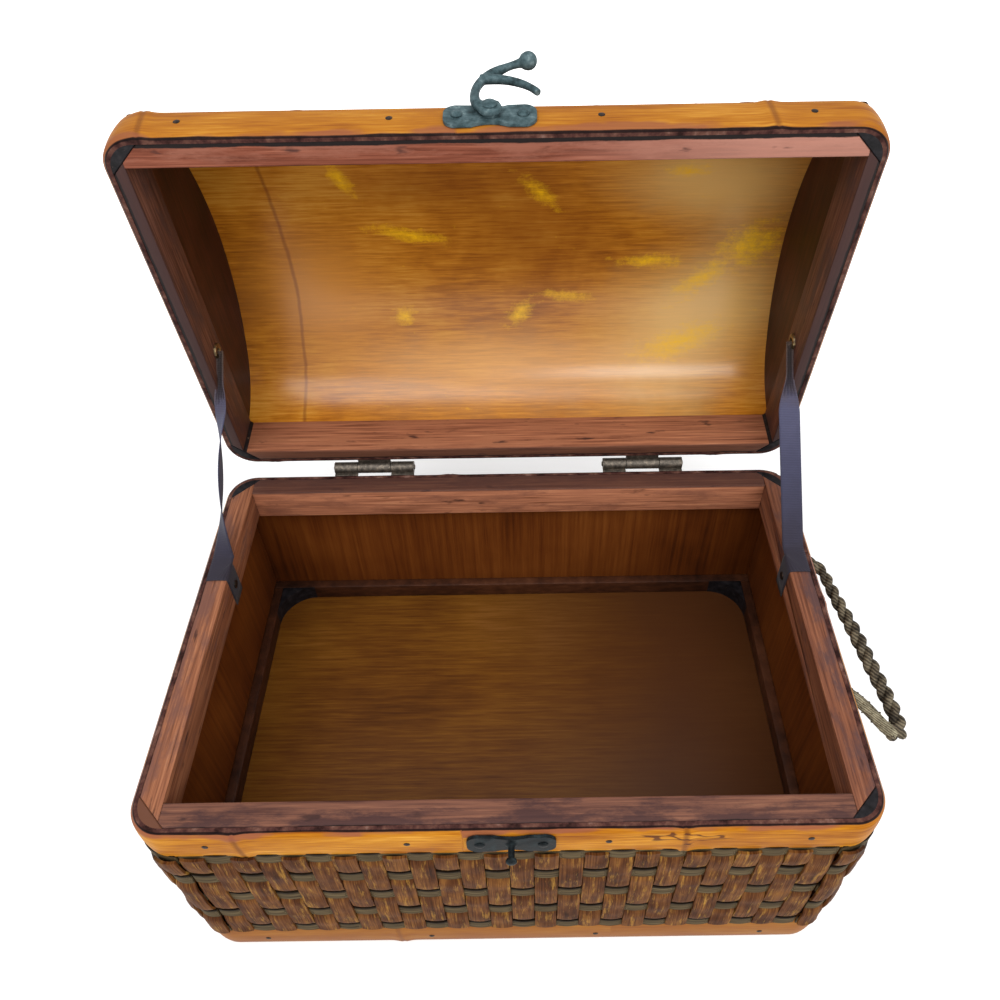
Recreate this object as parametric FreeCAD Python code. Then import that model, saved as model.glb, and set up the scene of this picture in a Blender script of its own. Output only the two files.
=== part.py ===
import FreeCAD
import Part
import math
import os

# Rattan chest with a domed lid, standing open. Millimetres, +Z up, front towards -Y.
# The origin is the centre of the base's underside.

# Whole chest
chest_width = 280.0
chest_depth = 181.0
base_height = 125.6
corner_radius = 14.0
lid_inset = 0.4
open_angle = 83.6
rim_gap = 0.4

# Stock
band_thickness = 3.4
wall_thickness = 3.5
mat_thickness = 4.2
seam_gap = 0.4
overrun = 2.0

# Base rim, feet and floor
rim_strip_width = 9.4
rim_strip_height = 17.2
filler_margin = 1.4
top_band_height = 20.4
bottom_band_height = 22.9
bottom_band_lift = 0.8
band_joint_y = 35.0
front_seam_inset = 16.0
foot_strip_width = 9.4
batten_width = 12.0
ring_top_depth = 79.0
ring_height = 9.6
ring_width = 4.8
ring_corner_radius = 18.0
floor_thickness = 3.5

# Lid
lid_side_strip_width = 5.0
lid_back_strip_width = 5.8
lid_front_strip_width = 9.4
lid_strip_height = 20.0
lid_band_height = 17.1
dome_inset = 7.6
dome_sheet_thickness = 2.0
dome_mat_thickness = 2.6
dome_spring_height = 10.0
dome_height = 63.5
dome_shoulder_radius = 43.0
dome_corner_radius = 8.0

# Weave of the mats: upright strips that dip under every second row
strip_width = 9.5
strip_groove_width = 0.6
strip_groove_depth = 1.0
row_pitch = 19.8
row_hollow_width = 8.8
row_hollow_depth = 1.0
first_row_lift = 1.7
dome_first_row_lift = 6.0
end_first_row_lift = 3.0
dome_groove_depth = 0.7
dome_hollow_depth = 0.7

# Butt hinges
hinge_offset = 4.0
hinge_x = 68.0
hinge_length = 40.0
hinge_middle_length = 16.4
hinge_knuckle_radius = 2.9
hinge_pin_radius = 1.2
hinge_pin_head = 0.6
hinge_leaf_thickness = 1.2
hinge_leaf_height = 14.0
hinge_axial_gap = 0.3
hinge_relief = 0.3
running_clearance = 0.05
hinge_nail_spread = 12.0
hinge_nail_drop = 9.0

# Nails and pins
nail_radius = 0.8
nail_length = 8.0
nail_head_radius = 2.1
nail_head_height = 0.9
band_nail_radius = 0.9
band_nail_length = 9.0
band_nail_end_inset = 29.0
# Places along the row, as shares of its half length.
band_nail_shares = (-1, -1 / 3, 1 / 3, 1)
top_band_nail_drop = 9.0
bottom_band_nail_height = 11.0
lid_band_nail_height = 8.5

# Clasp
plate_width = 32.6
plate_height = 12.8
plate_thickness = 1.2
plate_end_radius = 4.6
plate_waist = 1.8
plate_waist_radius = 14.0
plate_nail_spread = 11.6
hook_plate_x = -1.8
hook_plate_height = 7.8
catch_plate_x = 1.3
catch_plate_drop = 7.8
stud_radius = 1.2
stud_length = 5.0
stud_head_radius = 2.1
stud_head_length = 1.8
rivet_radius = 1.5
rivet_collar_radius = 2.9
rivet_collar_height = 1.2
rivet_head_radius = 2.7
rivet_head_height = 1.2
rivet_head_gap = 0.2
hook_thickness = 2.2
hook_disc_radius = 4.2
hook_arm_width = 3.0
hook_claw_clearance = 0.5
hook_claw_width = 2.8
hook_claw_start_angle = 27.0
hook_claw_end_angle = 100.0
hook_arm_left = 5.4
hook_arm_foot = 1.0
hook_arm_bulge = 6.0
hook_arm_knee_x = -1.4
hook_arm_knee_v = 23.6
hook_neck_x = 6.2
hook_neck_v = 30.4
hook_ball_x = 13.7
hook_ball_v = 32.4
hook_ball_radius = 3.3
hook_ball_lift = 2.3

# Rope handles
handle_drop = 4.8
handle_offset = 5.2
handle_tilt = 29.0
handle_hang_tilt = 86.0
rope_radius = 3.0
staple_radius = 0.9
staple_width = 8.8
staple_depth = 6.0
rope_eye_length = 5.4
rope_fillet_share = 0.45
rope_back_y = 51.0
rope_front_y = -21.6
rope_reach = 28.0
# The rope's route from its back end: shares of its reach from the bar, and of the way
# from its front end to its back end.
rope_route_shares = [
    (0.0, 1.0), (0.35, 1.003), (0.45, 0.787), (0.614, 0.594), (0.736, 0.421), (0.821, 0.249),
    (0.936, 0.084), (0.993, -0.054), (1.0, -0.178), (0.743, -0.209), (0.293, -0.028), (0.0, 0.0),
]

# Ribbon stays
ribbon_width = 10.0
ribbon_thickness = 0.5
ribbon_clearance = 0.15
ribbon_fold_y = 24.0
ribbon_fold_length = 14.0
ribbon_tail_length = 18.5
ribbon_rim_inset = 10.0
ribbon_neck_width = 2.6
ribbon_neck_start_share = 0.70
ribbon_neck_end_share = 0.80
eyelet_reach = 66.0
eyelet_height = 13.6
eyelet_radius = 3.8
eyelet_hole_radius = 1.5
eyelet_thickness = 0.8
tack_radius = 0.7
tack_length = 5.0
tack_head_radius = 2.0
tack_head_height = 0.7
tack_drop = 9.0

# Worked out from the sizes above
half_width = chest_width / 2
half_depth = chest_depth / 2
shell_x = half_width - band_thickness
shell_y = half_depth - band_thickness
shell_radius = corner_radius - band_thickness
wall_inner_x = shell_x - wall_thickness
wall_inner_y = shell_y - wall_thickness
rim_inner_x = shell_x - rim_strip_width
rim_strip_bottom = base_height - rim_strip_height
ring_top = base_height - ring_top_depth
floor_top = ring_top - ring_height
foot_height = floor_top - floor_thickness
mat_x = shell_x + mat_thickness
mat_y = shell_y + mat_thickness
mat_bottom = bottom_band_height + seam_gap
mat_top = base_height - top_band_height - seam_gap
front_seam_x = half_width - front_seam_inset

lid_floor = base_height + rim_gap
lid_half_width = half_width - lid_inset
lid_shell_x = lid_half_width - band_thickness
lid_panel_inner_x = lid_shell_x - wall_thickness
lid_side_inner_x = lid_shell_x - lid_side_strip_width
dome_half_span = half_depth - dome_inset
dome_outer_half_span = dome_half_span + dome_sheet_thickness
lid_mat_x = lid_shell_x + dome_mat_thickness
lid_mat_y = dome_outer_half_span + dome_mat_thickness

hinge_y = half_depth + hinge_offset
hinge_z = base_height + rim_gap / 2
hinge_axis = FreeCAD.Vector(1, 0, 0)

hook_v = lid_floor + hook_plate_height
catch_z = base_height - catch_plate_drop
stud_reach = math.hypot(catch_plate_x - hook_plate_x, hook_v - catch_z)
claw_inner_radius = stud_reach + stud_radius + hook_claw_clearance
hook_back = half_depth + plate_thickness + rivet_collar_height

handle_bar_x = mat_x + handle_offset
handle_height = mat_top - handle_drop


# Building blocks
def vec(x, y, z):
    return FreeCAD.Vector(x, y, z)


def block(x0, x1, y0, y1, z0, z1):
    return Part.makeBox(x1 - x0, y1 - y0, z1 - z0, vec(x0, y0, z0))


def rod(radius, start, end):
    along = end - start
    return Part.makeCylinder(radius, along.Length, start, along)


def rounded_prism(hx, hy, radius, z0, z1):
    """Upright prism with half sizes hx and hy and rounded upright edges."""
    solid = block(-hx, hx, -hy, hy, z0, z1)
    upright = [edge for edge in solid.Edges if abs(edge.tangentAt(edge.FirstParameter).z) > 0.5]
    return solid.makeFillet(radius, upright)


def mirrored_x(shape):
    return shape.mirror(vec(0, 0, 0), vec(1, 0, 0))


def group(solids):
    return Part.makeCompound(solids)


def drilled(shape, pins):
    """The piece with a close hole for each nail or wire that runs into it."""
    for pin in pins:
        if shape.BoundBox.intersect(pin.BoundBox):
            shape = shape.cut(pin)
    return shape


def opened(shape):
    """Turn a lid piece from the closed lid to the open lid."""
    turned = shape.copy()
    turned.rotate(vec(0, hinge_y, hinge_z), hinge_axis, -open_angle)
    return turned


def save(name, shape):
    if shape.ShapeType == "Compound" and len(shape.Solids) == 1:
        shape = shape.Solids[0]
    shape.exportStep("parts/" + name + ".step")
    print(name, len(shape.Solids), round(shape.Volume, 1), shape.isValid())


# Nails: a round head on the face and a shank into the wood
def headed(face_point, outward, head_radius, head_height, radius, length):
    head = rod(head_radius, face_point, face_point + outward * head_height)
    shank = rod(radius, face_point - outward * length, face_point)
    return head.fuse(shank).removeSplitter()


def nail(face_point, outward):
    return headed(face_point, outward, nail_head_radius, nail_head_height, nail_radius, nail_length)


def plate_nails(center_x, z):
    face_y = -half_depth - plate_thickness
    nails = []
    for side in (-1, 1):
        point = vec(center_x + side * plate_nail_spread, face_y, z)
        nails.append(nail(point, vec(0, -1, 0)))
    return nails


def hinge_nails(z):
    face_y = half_depth + hinge_leaf_thickness
    nails = []
    for hinge_side in (-1, 1):
        for side in (-1, 1):
            point = vec(hinge_side * hinge_x + side * hinge_nail_spread, face_y, z)
            nails.append(nail(point, vec(0, 1, 0)))
    return nails


def row_of_band_nails(z, outward_y):
    """Four nails, flush with the band's face and away from the clasp and the hinges."""
    nails = []
    for share in band_nail_shares:
        face = vec(share * (half_width - band_nail_end_inset), outward_y * half_depth, z)
        nails.append(rod(band_nail_radius, face - vec(0, outward_y * band_nail_length, 0), face))
    return nails


def base_band_nails():
    top = base_height - top_band_nail_drop
    nails = row_of_band_nails(top, -1)
    nails += row_of_band_nails(bottom_band_nail_height, -1)
    nails += row_of_band_nails(bottom_band_nail_height, 1)
    return nails


def lid_band_nails():
    return row_of_band_nails(lid_floor + lid_band_nail_height, -1)


# Strips: square stock, cut at the outer corners where a rounded filler sits
def corner_wedge(hx, hy, z0, z1):
    """The triangle that the fillers take from a square corner, at +X +Y."""
    far_x = hx + overrun
    far_y = hy + overrun
    reach = shell_radius + filler_margin + overrun * 2
    points = [vec(far_x, far_y - reach, z0), vec(far_x, far_y, z0), vec(far_x - reach, far_y, z0)]
    face = Part.Face(Part.makePolygon(points + [points[0]]))
    return face.extrude(vec(0, 0, z1 - z0))


def corner_wedges(hx, hy, z0, z1):
    first = corner_wedge(hx, hy, z0, z1)
    second = mirrored_x(first)
    both = [first, second]
    return both + [wedge.mirror(vec(0, 0, 0), vec(0, 1, 0)) for wedge in both]


def corner_fillers(hx, hy, z0, z1):
    outline = rounded_prism(hx, hy, shell_radius, z0, z1)
    return [outline.common(wedge) for wedge in corner_wedges(hx, hy, z0, z1)]


def cut_corners(strip, hx, hy, z0, z1):
    for wedge in corner_wedges(hx, hy, z0 - overrun, z1 + overrun):
        if strip.BoundBox.intersect(wedge.BoundBox):
            strip = strip.cut(wedge)
    return strip


def side_strip(side, outer_x, width, hy, z0, z1):
    inner = side * (outer_x - width)
    outer = side * outer_x
    return block(min(inner, outer), max(inner, outer), -hy, hy, z0, z1)


def cross_strip(side, half_length, outer_y, width, z0, z1):
    inner = side * (outer_y - width)
    outer = side * outer_y
    return block(-half_length, half_length, min(inner, outer), max(inner, outer), z0, z1)


def build_base_frame(nails):
    """Rim strips, foot strips and the batten under the floor."""
    for name, z0, z1, width in (
        ("rim_strip", rim_strip_bottom, base_height, rim_strip_width),
        ("foot_strip", 0, foot_height, foot_strip_width),
    ):
        inner_x = shell_x - width
        left = side_strip(-1, shell_x, width, shell_y, z0, z1)
        right = side_strip(1, shell_x, width, shell_y, z0, z1)
        front = cross_strip(-1, inner_x, shell_y, width, z0, z1)
        back = cross_strip(1, inner_x, shell_y, width, z0, z1)
        for side, strip in (("left", left), ("right", right), ("front", front), ("back", back)):
            save(name + "_" + side, drilled(cut_corners(strip, shell_x, shell_y, z0, z1), nails))
    rim_fillers = corner_fillers(shell_x, shell_y, rim_strip_bottom, base_height)
    foot_fillers = corner_fillers(shell_x, shell_y, 0, foot_height)
    save("corner_fillers", group(rim_fillers + foot_fillers))
    end_y = shell_y - foot_strip_width
    half_batten = batten_width / 2
    save("floor_batten", block(-half_batten, half_batten, -end_y, end_y, 0, foot_height))


# Ply walls with rounded outer corners
def build_walls(nails):
    z0 = foot_height
    z1 = rim_strip_bottom
    outline = rounded_prism(shell_x, shell_y, shell_radius, z0, z1)
    for name, side in (("wall_left", -1), ("wall_right", 1)):
        wall = side_strip(side, shell_x, wall_thickness, shell_y, z0, z1).common(outline)
        save(name, drilled(wall, nails))
    for name, side in (("wall_front", -1), ("wall_back", 1)):
        wall = cross_strip(side, wall_inner_x, shell_y, wall_thickness, z0, z1).common(outline)
        save(name, drilled(wall, nails))


# Floor and the ring strip round it
def ring_corner(z0, z1):
    """Rounded inner corner of the ring, at +X +Y."""
    x1 = wall_inner_x - ring_width
    y1 = wall_inner_y - ring_width
    x0 = x1 - ring_corner_radius
    y0 = y1 - ring_corner_radius
    corner = block(x0, x1, y0, y1, z0, z1)
    bore = rod(ring_corner_radius, vec(x0, y0, z0 - overrun), vec(x0, y0, z1 + overrun))
    return corner.cut(bore)


def build_floor():
    panel = block(-wall_inner_x, wall_inner_x, -wall_inner_y, wall_inner_y, foot_height, floor_top)
    save("floor_panel", panel)
    for name, side in (("floor_ring_front", -1), ("floor_ring_back", 1)):
        save(name, cross_strip(side, wall_inner_x, wall_inner_y, ring_width, floor_top, ring_top))
    for name, side in (("floor_ring_left", -1), ("floor_ring_right", 1)):
        save(name, side_strip(side, wall_inner_x, ring_width, wall_inner_y - ring_width, floor_top, ring_top))
    first = ring_corner(floor_top, ring_top)
    both = [first, mirrored_x(first)]
    corners = both + [corner.mirror(vec(0, 0, 0), vec(0, 1, 0)) for corner in both]
    save("floor_ring_corners", group(corners))


# Woven mats: flat on the front and back, wrapped round the corners at the sides
def rows_between(first, high):
    """Middles of the rows, from the first one up."""
    return [first + row_pitch * number for number in range(math.floor((high - first) / row_pitch) + 1)]


def woven(mat, run, low, high, first_row, place_at, groove_depth=strip_groove_depth, hollow_depth=row_hollow_depth):
    """Cut the grooves between the upright strips, and a hollow over each row that passes in front.

    place_at gives the point (x, y) on the mat's outer face after some of its run, and the angle
    that the face looks to.
    """
    count = round(run / strip_width)
    width = run / count
    cutters = []

    def cut_at(reach, half_width_of_cut, depth, z0, z1):
        cutter = block(-depth, overrun, -half_width_of_cut, half_width_of_cut, z0, z1)
        x, y, angle = place_at(reach)
        cutter.rotate(vec(0, 0, 0), vec(0, 0, 1), math.degrees(angle))
        cutter.translate(vec(x, y, 0))
        cutters.append(cutter)

    for column in range(count):
        if column:
            cut_at(column * width, strip_groove_width / 2, groove_depth, low - overrun, high + overrun)
        for row, middle in enumerate(rows_between(first_row, high)):
            if (row + column) % 2:
                half = row_hollow_width / 2
                cut_at((column + 0.5) * width, width / 2, hollow_depth, middle - half, middle + half)
    return mat.cut(cutters)


def build_base_mats(nails):
    radius = shell_radius + mat_thickness
    inner = rounded_prism(shell_x, shell_y, shell_radius, mat_bottom - overrun, mat_top + overrun)
    outer = rounded_prism(mat_x, mat_y, radius, mat_bottom, mat_top)
    shell = outer.cut(inner)
    edge = front_seam_x + seam_gap
    side_zone = block(edge, mat_x + overrun, -mat_y - overrun, mat_y + overrun, mat_bottom, mat_top)
    first_row = mat_bottom + first_row_lift
    lead = mat_x - radius - edge
    bend = radius * math.pi / 2
    flat = 2 * (mat_y - radius)
    run = 2 * (lead + bend) + flat

    def on_right_side(reach):
        """From the front seam round the front corner, along the side and round the back corner."""
        back = 1 if reach > run / 2 else -1
        gone = min(reach, run - reach)
        if gone < lead:
            return edge + gone, back * mat_y, back * math.pi / 2
        turned = min((gone - lead) / radius, math.pi / 2)
        angle = back * (math.pi / 2 - turned)
        past = max(0, gone - lead - bend)
        y = back * (mat_y - radius - past) + radius * math.sin(angle)
        return mat_x - radius + radius * math.cos(angle), y, angle

    right = woven(shell.common(side_zone), run, mat_bottom, mat_top, first_row, on_right_side)
    save("mat_right", drilled(right, nails))
    save("mat_left", drilled(mirrored_x(right), nails))
    for name, side in (("mat_front", -1), ("mat_back", 1)):
        flat_mat = cross_strip(side, front_seam_x, mat_y, mat_thickness, mat_bottom, mat_top)

        def on_face(reach):
            return side * (front_seam_x - reach), side * mat_y, side * math.pi / 2

        save(name, woven(flat_mat, 2 * front_seam_x, mat_bottom, mat_top, first_row, on_face))


# Bent bamboo bands: one goes round the front and both sides, the other round the back
def band_pair(hx, hy, radius, z0, z1):
    outer = rounded_prism(hx, hy, radius, z0, z1)
    inner_x = hx - band_thickness
    inner_y = hy - band_thickness
    inner = rounded_prism(inner_x, inner_y, radius - band_thickness, z0 - overrun, z1 + overrun)
    ring = outer.cut(inner)
    half_gap = seam_gap / 2
    far = hx + overrun
    front_zone = block(-far, far, -hy - overrun, band_joint_y - half_gap, z0, z1)
    back_zone = block(-far, far, band_joint_y + half_gap, hy + overrun, z0, z1)
    return ring.common(front_zone), ring.common(back_zone)


def build_base_bands(nails):
    top = band_pair(half_width, half_depth, corner_radius, base_height - top_band_height, base_height)
    bottom = band_pair(half_width, half_depth, corner_radius, bottom_band_lift, bottom_band_height)
    save("top_band_front", drilled(top[0], nails))
    save("top_band_back", drilled(top[1], nails))
    save("bottom_band_front", drilled(bottom[0], nails))
    save("bottom_band_back", drilled(bottom[1], nails))


# Dome: a three-centred arch, two shoulders and a flatter crown. It stands on the lid's frame, above
# the level where the shoulders would be upright.
dome_spring = lid_floor + dome_spring_height
dome_rise = dome_height - dome_spring_height
shoulder_y = dome_half_span - dome_shoulder_radius
crown_radius = (shoulder_y ** 2 + dome_rise ** 2 - dome_shoulder_radius ** 2) / (
    2 * (dome_rise - dome_shoulder_radius))
crown_z = dome_spring + dome_rise - crown_radius
# Height of the joint between shoulder and crown, as an angle from the level.
joint_angle = math.pi / 2 - math.atan2(shoulder_y, crown_radius - dome_rise)


def foot_angle(grow, foot_z):
    """Where on the shoulder the arch stands, as an angle from the level."""
    return math.asin((foot_z - dome_spring) / (dome_shoulder_radius + grow))


def on_shoulder(grow, angle):
    small = dome_shoulder_radius + grow
    return shoulder_y + small * math.cos(angle), dome_spring + small * math.sin(angle)


def arch_face(grow, z0, x):
    """Flat face under the arch, down to z0, in the plane at x."""
    foot = foot_angle(grow, z0)

    def at(point, side):
        return vec(x, side * point[0], point[1])

    start = on_shoulder(grow, foot)
    middle = on_shoulder(grow, (foot + joint_angle) / 2)
    joint = on_shoulder(grow, joint_angle)
    crown = (0, crown_z + crown_radius + grow)
    edges = [
        Part.Arc(at(start, 1), at(middle, 1), at(joint, 1)).toShape(),
        Part.Arc(at(joint, 1), at(crown, 1), at(joint, -1)).toShape(),
        Part.Arc(at(joint, -1), at(middle, -1), at(start, -1)).toShape(),
        Part.LineSegment(at(start, -1), at(start, 1)).toShape(),
    ]
    return Part.Face(Part.Wire(edges))


def arch_solid(grow, z0, x0, x1):
    return arch_face(grow, z0, x0).extrude(vec(x1 - x0, 0, 0))


def half_arch_lengths(grow, foot_z):
    """Lengths of the shoulder and of half the crown."""
    shoulder = (dome_shoulder_radius + grow) * (joint_angle - foot_angle(grow, foot_z))
    return shoulder, (crown_radius + grow) * (math.pi / 2 - joint_angle)


def arch_place(grow, foot_z, reach):
    """The point (y, z) and the outward angle after some length along the arch from its back foot."""
    shoulder, half_crown = half_arch_lengths(grow, foot_z)
    half_run = shoulder + half_crown
    side = 1 if reach < half_run else -1
    gone = min(reach, 2 * half_run - reach)
    if gone < shoulder:
        angle = foot_angle(grow, foot_z) + gone / (dome_shoulder_radius + grow)
        y, z = on_shoulder(grow, angle)
    else:
        large = crown_radius + grow
        angle = joint_angle + (gone - shoulder) / large
        y, z = large * math.cos(angle), crown_z + large * math.sin(angle)
    return side * y, z, math.pi / 2 - side * (math.pi / 2 - angle)


def woven_dome(mat, outside, foot_z):
    """The dome's mat, with its strips from front to back and its rows along the chest."""
    count = round(2 * lid_shell_x / strip_width)
    width = 2 * lid_shell_x / count
    half_groove = strip_groove_width / 2
    far = foot_z - overrun
    over = arch_solid(outside + overrun, far, -half_groove, half_groove)
    groove = over.cut(arch_solid(outside - dome_groove_depth, far - overrun, -width, width))
    half = row_hollow_width / 2
    hollow = block(-width / 2, width / 2, -dome_hollow_depth, overrun, -half, half)
    rows = rows_between(dome_first_row_lift, 2 * sum(half_arch_lengths(outside, foot_z)))
    cutters = []
    for column in range(count):
        left = -lid_shell_x + column * width
        if column:
            cutters.append(groove.translated(vec(left, 0, 0)))
        for row, reach in enumerate(rows):
            if (row + column) % 2:
                y, z, angle = arch_place(outside, foot_z, reach)
                cutter = hollow.rotated(vec(0, 0, 0), vec(1, 0, 0), math.degrees(angle))
                cutters.append(cutter.translated(vec(left + width / 2, y, z)))
    return mat.cut(cutters)


def build_dome():
    top = lid_floor + dome_height + dome_sheet_thickness + dome_mat_thickness + overrun
    sheet_foot = lid_floor + lid_strip_height
    mat_foot = lid_floor + lid_band_height + seam_gap
    sheet_outline = rounded_prism(lid_shell_x, dome_outer_half_span, dome_corner_radius, sheet_foot, top)
    mat_corner_radius = dome_corner_radius + dome_mat_thickness
    mat_outline = rounded_prism(lid_mat_x, lid_mat_y, mat_corner_radius, mat_foot, top)
    outside = dome_sheet_thickness + dome_mat_thickness
    far = lid_mat_x + overrun

    hollow = arch_solid(0, sheet_foot - overrun, -far, far)
    sheet = arch_solid(dome_sheet_thickness, sheet_foot, -lid_shell_x, lid_shell_x).cut(hollow)
    save("dome_sheet", opened(sheet.common(sheet_outline)))

    under_mat = arch_solid(dome_sheet_thickness, sheet_foot - overrun, -far, far)
    mat = arch_solid(outside, sheet_foot, -lid_shell_x, lid_shell_x).cut(under_mat)
    save("dome_mat", opened(woven_dome(mat.common(mat_outline), outside, sheet_foot)))

    panel = arch_solid(0, sheet_foot, lid_panel_inner_x, lid_shell_x).common(sheet_outline)
    end_mat = arch_solid(outside, mat_foot, lid_shell_x, lid_mat_x).common(mat_outline)

    def on_end(reach):
        return lid_mat_x, reach - lid_mat_y, 0

    first_row = mat_foot + end_first_row_lift
    end_mat = woven(end_mat, 2 * lid_mat_y, mat_foot, top, first_row, on_end, dome_groove_depth, dome_hollow_depth)
    save("lid_end_right", opened(panel))
    save("lid_end_left", opened(mirrored_x(panel)))
    save("end_mat_right", opened(end_mat))
    save("end_mat_left", opened(mirrored_x(end_mat)))


def build_lid_frame(nails):
    z0 = lid_floor
    z1 = lid_floor + lid_strip_height
    left = side_strip(-1, lid_shell_x, lid_side_strip_width, shell_y, z0, z1)
    right = side_strip(1, lid_shell_x, lid_side_strip_width, shell_y, z0, z1)
    front = cross_strip(-1, lid_side_inner_x, shell_y, lid_front_strip_width, z0, z1)
    back = cross_strip(1, lid_side_inner_x, shell_y, lid_back_strip_width, z0, z1)
    for side, strip in (("left", left), ("right", right), ("front", front), ("back", back)):
        save("lid_strip_" + side, opened(drilled(cut_corners(strip, lid_shell_x, shell_y, z0, z1), nails)))
    save("lid_corner_fillers", opened(group(corner_fillers(lid_shell_x, shell_y, z0, z1))))
    front_band, back_band = band_pair(lid_half_width, half_depth, corner_radius, z0, z0 + lid_band_height)
    save("lid_band_front", opened(drilled(front_band, nails)))
    save("lid_band_back", opened(drilled(back_band, nails)))


# Butt hinges on the back faces, with three knuckles each
def knuckle(x0, x1):
    barrel = rod(hinge_knuckle_radius, vec(x0, hinge_y, hinge_z), vec(x1, hinge_y, hinge_z))
    far = overrun
    bore_radius = hinge_pin_radius + running_clearance
    bore = rod(bore_radius, vec(x0 - far, hinge_y, hinge_z), vec(x1 + far, hinge_y, hinge_z))
    return barrel, bore


def leaf(center_x, direction, spans):
    """A leaf on the back face with its own knuckles. direction is -1 below the axis and 1 above it."""
    half_length = hinge_length / 2
    front_y = half_depth
    rear_y = half_depth + hinge_leaf_thickness
    near = hinge_z + direction * (hinge_knuckle_radius + hinge_relief)
    far = hinge_z + direction * hinge_leaf_height
    left_x = center_x - half_length
    right_x = center_x + half_length
    solid = block(left_x, right_x, front_y, rear_y, min(near, far), max(near, far))
    bores = []
    for x0, x1 in spans:
        barrel, bore = knuckle(x0, x1)
        tangent = hinge_z + direction * hinge_knuckle_radius
        web_inner = tangent - direction * hinge_leaf_thickness
        web = block(x0, x1, front_y, hinge_y, min(tangent, web_inner), max(tangent, web_inner))
        root = block(x0, x1, front_y, rear_y, min(web_inner, near), max(web_inner, near))
        solid = solid.fuse(barrel).fuse(web).fuse(root)
        bores.append(bore)
    for bore in bores:
        solid = solid.cut(bore)
    return solid.removeSplitter()


def build_hinges(base_nails, lid_nails):
    base_leaves = []
    lid_leaves = []
    pins = []
    half_length = hinge_length / 2
    half_middle = hinge_middle_length / 2
    for side in (-1, 1):
        x = side * hinge_x
        outer_spans = [
            (x - half_length, x - half_middle - hinge_axial_gap),
            (x + half_middle + hinge_axial_gap, x + half_length),
        ]
        base_leaves.append(drilled(leaf(x, -1, outer_spans), base_nails))
        lid_leaves.append(drilled(leaf(x, 1, [(x - half_middle, x + half_middle)]), lid_nails))
        reach = half_length + hinge_pin_head
        pins.append(rod(hinge_pin_radius, vec(x - reach, hinge_y, hinge_z), vec(x + reach, hinge_y, hinge_z)))
    save("hinge_base_leaves", group(base_leaves))
    save("hinge_lid_leaves", opened(group(lid_leaves)))
    save("hinge_pins", group(pins))


# Clasp: hook plate on the lid, catch plate and stud on the base
def clasp_plate(center_x, center_z):
    half_w = plate_width / 2
    half_h = plate_height / 2
    y0 = -half_depth - plate_thickness
    plate = block(center_x - half_w, center_x + half_w, y0, -half_depth, center_z - half_h, center_z + half_h)
    short = [edge for edge in plate.Edges if abs(edge.tangentAt(edge.FirstParameter).y) > 0.5]
    plate = plate.makeFillet(plate_end_radius, short)
    for side in (-1, 1):
        z = center_z + side * (half_h - plate_waist + plate_waist_radius)
        waist_start = vec(center_x, y0 - overrun, z)
        waist_end = vec(center_x, overrun - half_depth, z)
        plate = plate.cut(rod(plate_waist_radius, waist_start, waist_end))
    return plate


def build_clasp(base_nails, lid_nails):
    save("catch_plate", drilled(clasp_plate(catch_plate_x, catch_z), base_nails))
    save("hook_plate", opened(drilled(clasp_plate(hook_plate_x, hook_v), lid_nails)))

    plate_face = -half_depth - plate_thickness
    root = vec(catch_plate_x, plate_face, catch_z)
    neck = root - vec(0, stud_length, 0)
    tip = neck - vec(0, stud_head_length, 0)
    save("catch_stud", rod(stud_radius, root, neck).fuse(rod(stud_head_radius, neck, tip)).removeSplitter())

    foot = vec(hook_plate_x, plate_face, hook_v)
    collar = foot - vec(0, rivet_collar_height, 0)
    under_head = collar - vec(0, hook_thickness + rivet_head_gap, 0)
    top = under_head - vec(0, rivet_head_height, 0)
    rivet = rod(rivet_collar_radius, foot, collar)
    rivet = rivet.fuse(rod(rivet_radius, collar, under_head)).fuse(rod(rivet_head_radius, under_head, top))
    save("hook_rivet", opened(rivet.removeSplitter()))


def hook_point(x, v):
    """A point of the hook's back face, from the rivet's centre: x to the right, v away from the rim."""
    return vec(hook_plate_x + x, -hook_back - rivet_head_gap / 2, hook_v + v)


def stroke(points, width):
    """A flat curved bar of constant width along the arc through three points."""
    centre = Part.Arc(*points).toShape().Curve.Center
    sides = []
    for shift in (-width / 2, width / 2):
        sides.append([point + (point - centre).normalize() * shift for point in points])
    inner, outer = sides
    edges = [
        Part.Arc(*inner).toShape(),
        Part.LineSegment(inner[-1], outer[-1]).toShape(),
        Part.Arc(*reversed(outer)).toShape(),
        Part.LineSegment(outer[0], inner[0]).toShape(),
    ]
    return Part.Face(Part.Wire(edges)).extrude(vec(0, -hook_thickness, 0))


def boss(x, v, radius):
    return rod(radius, hook_point(x, v), hook_point(x, v) - vec(0, hook_thickness, 0))


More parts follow.
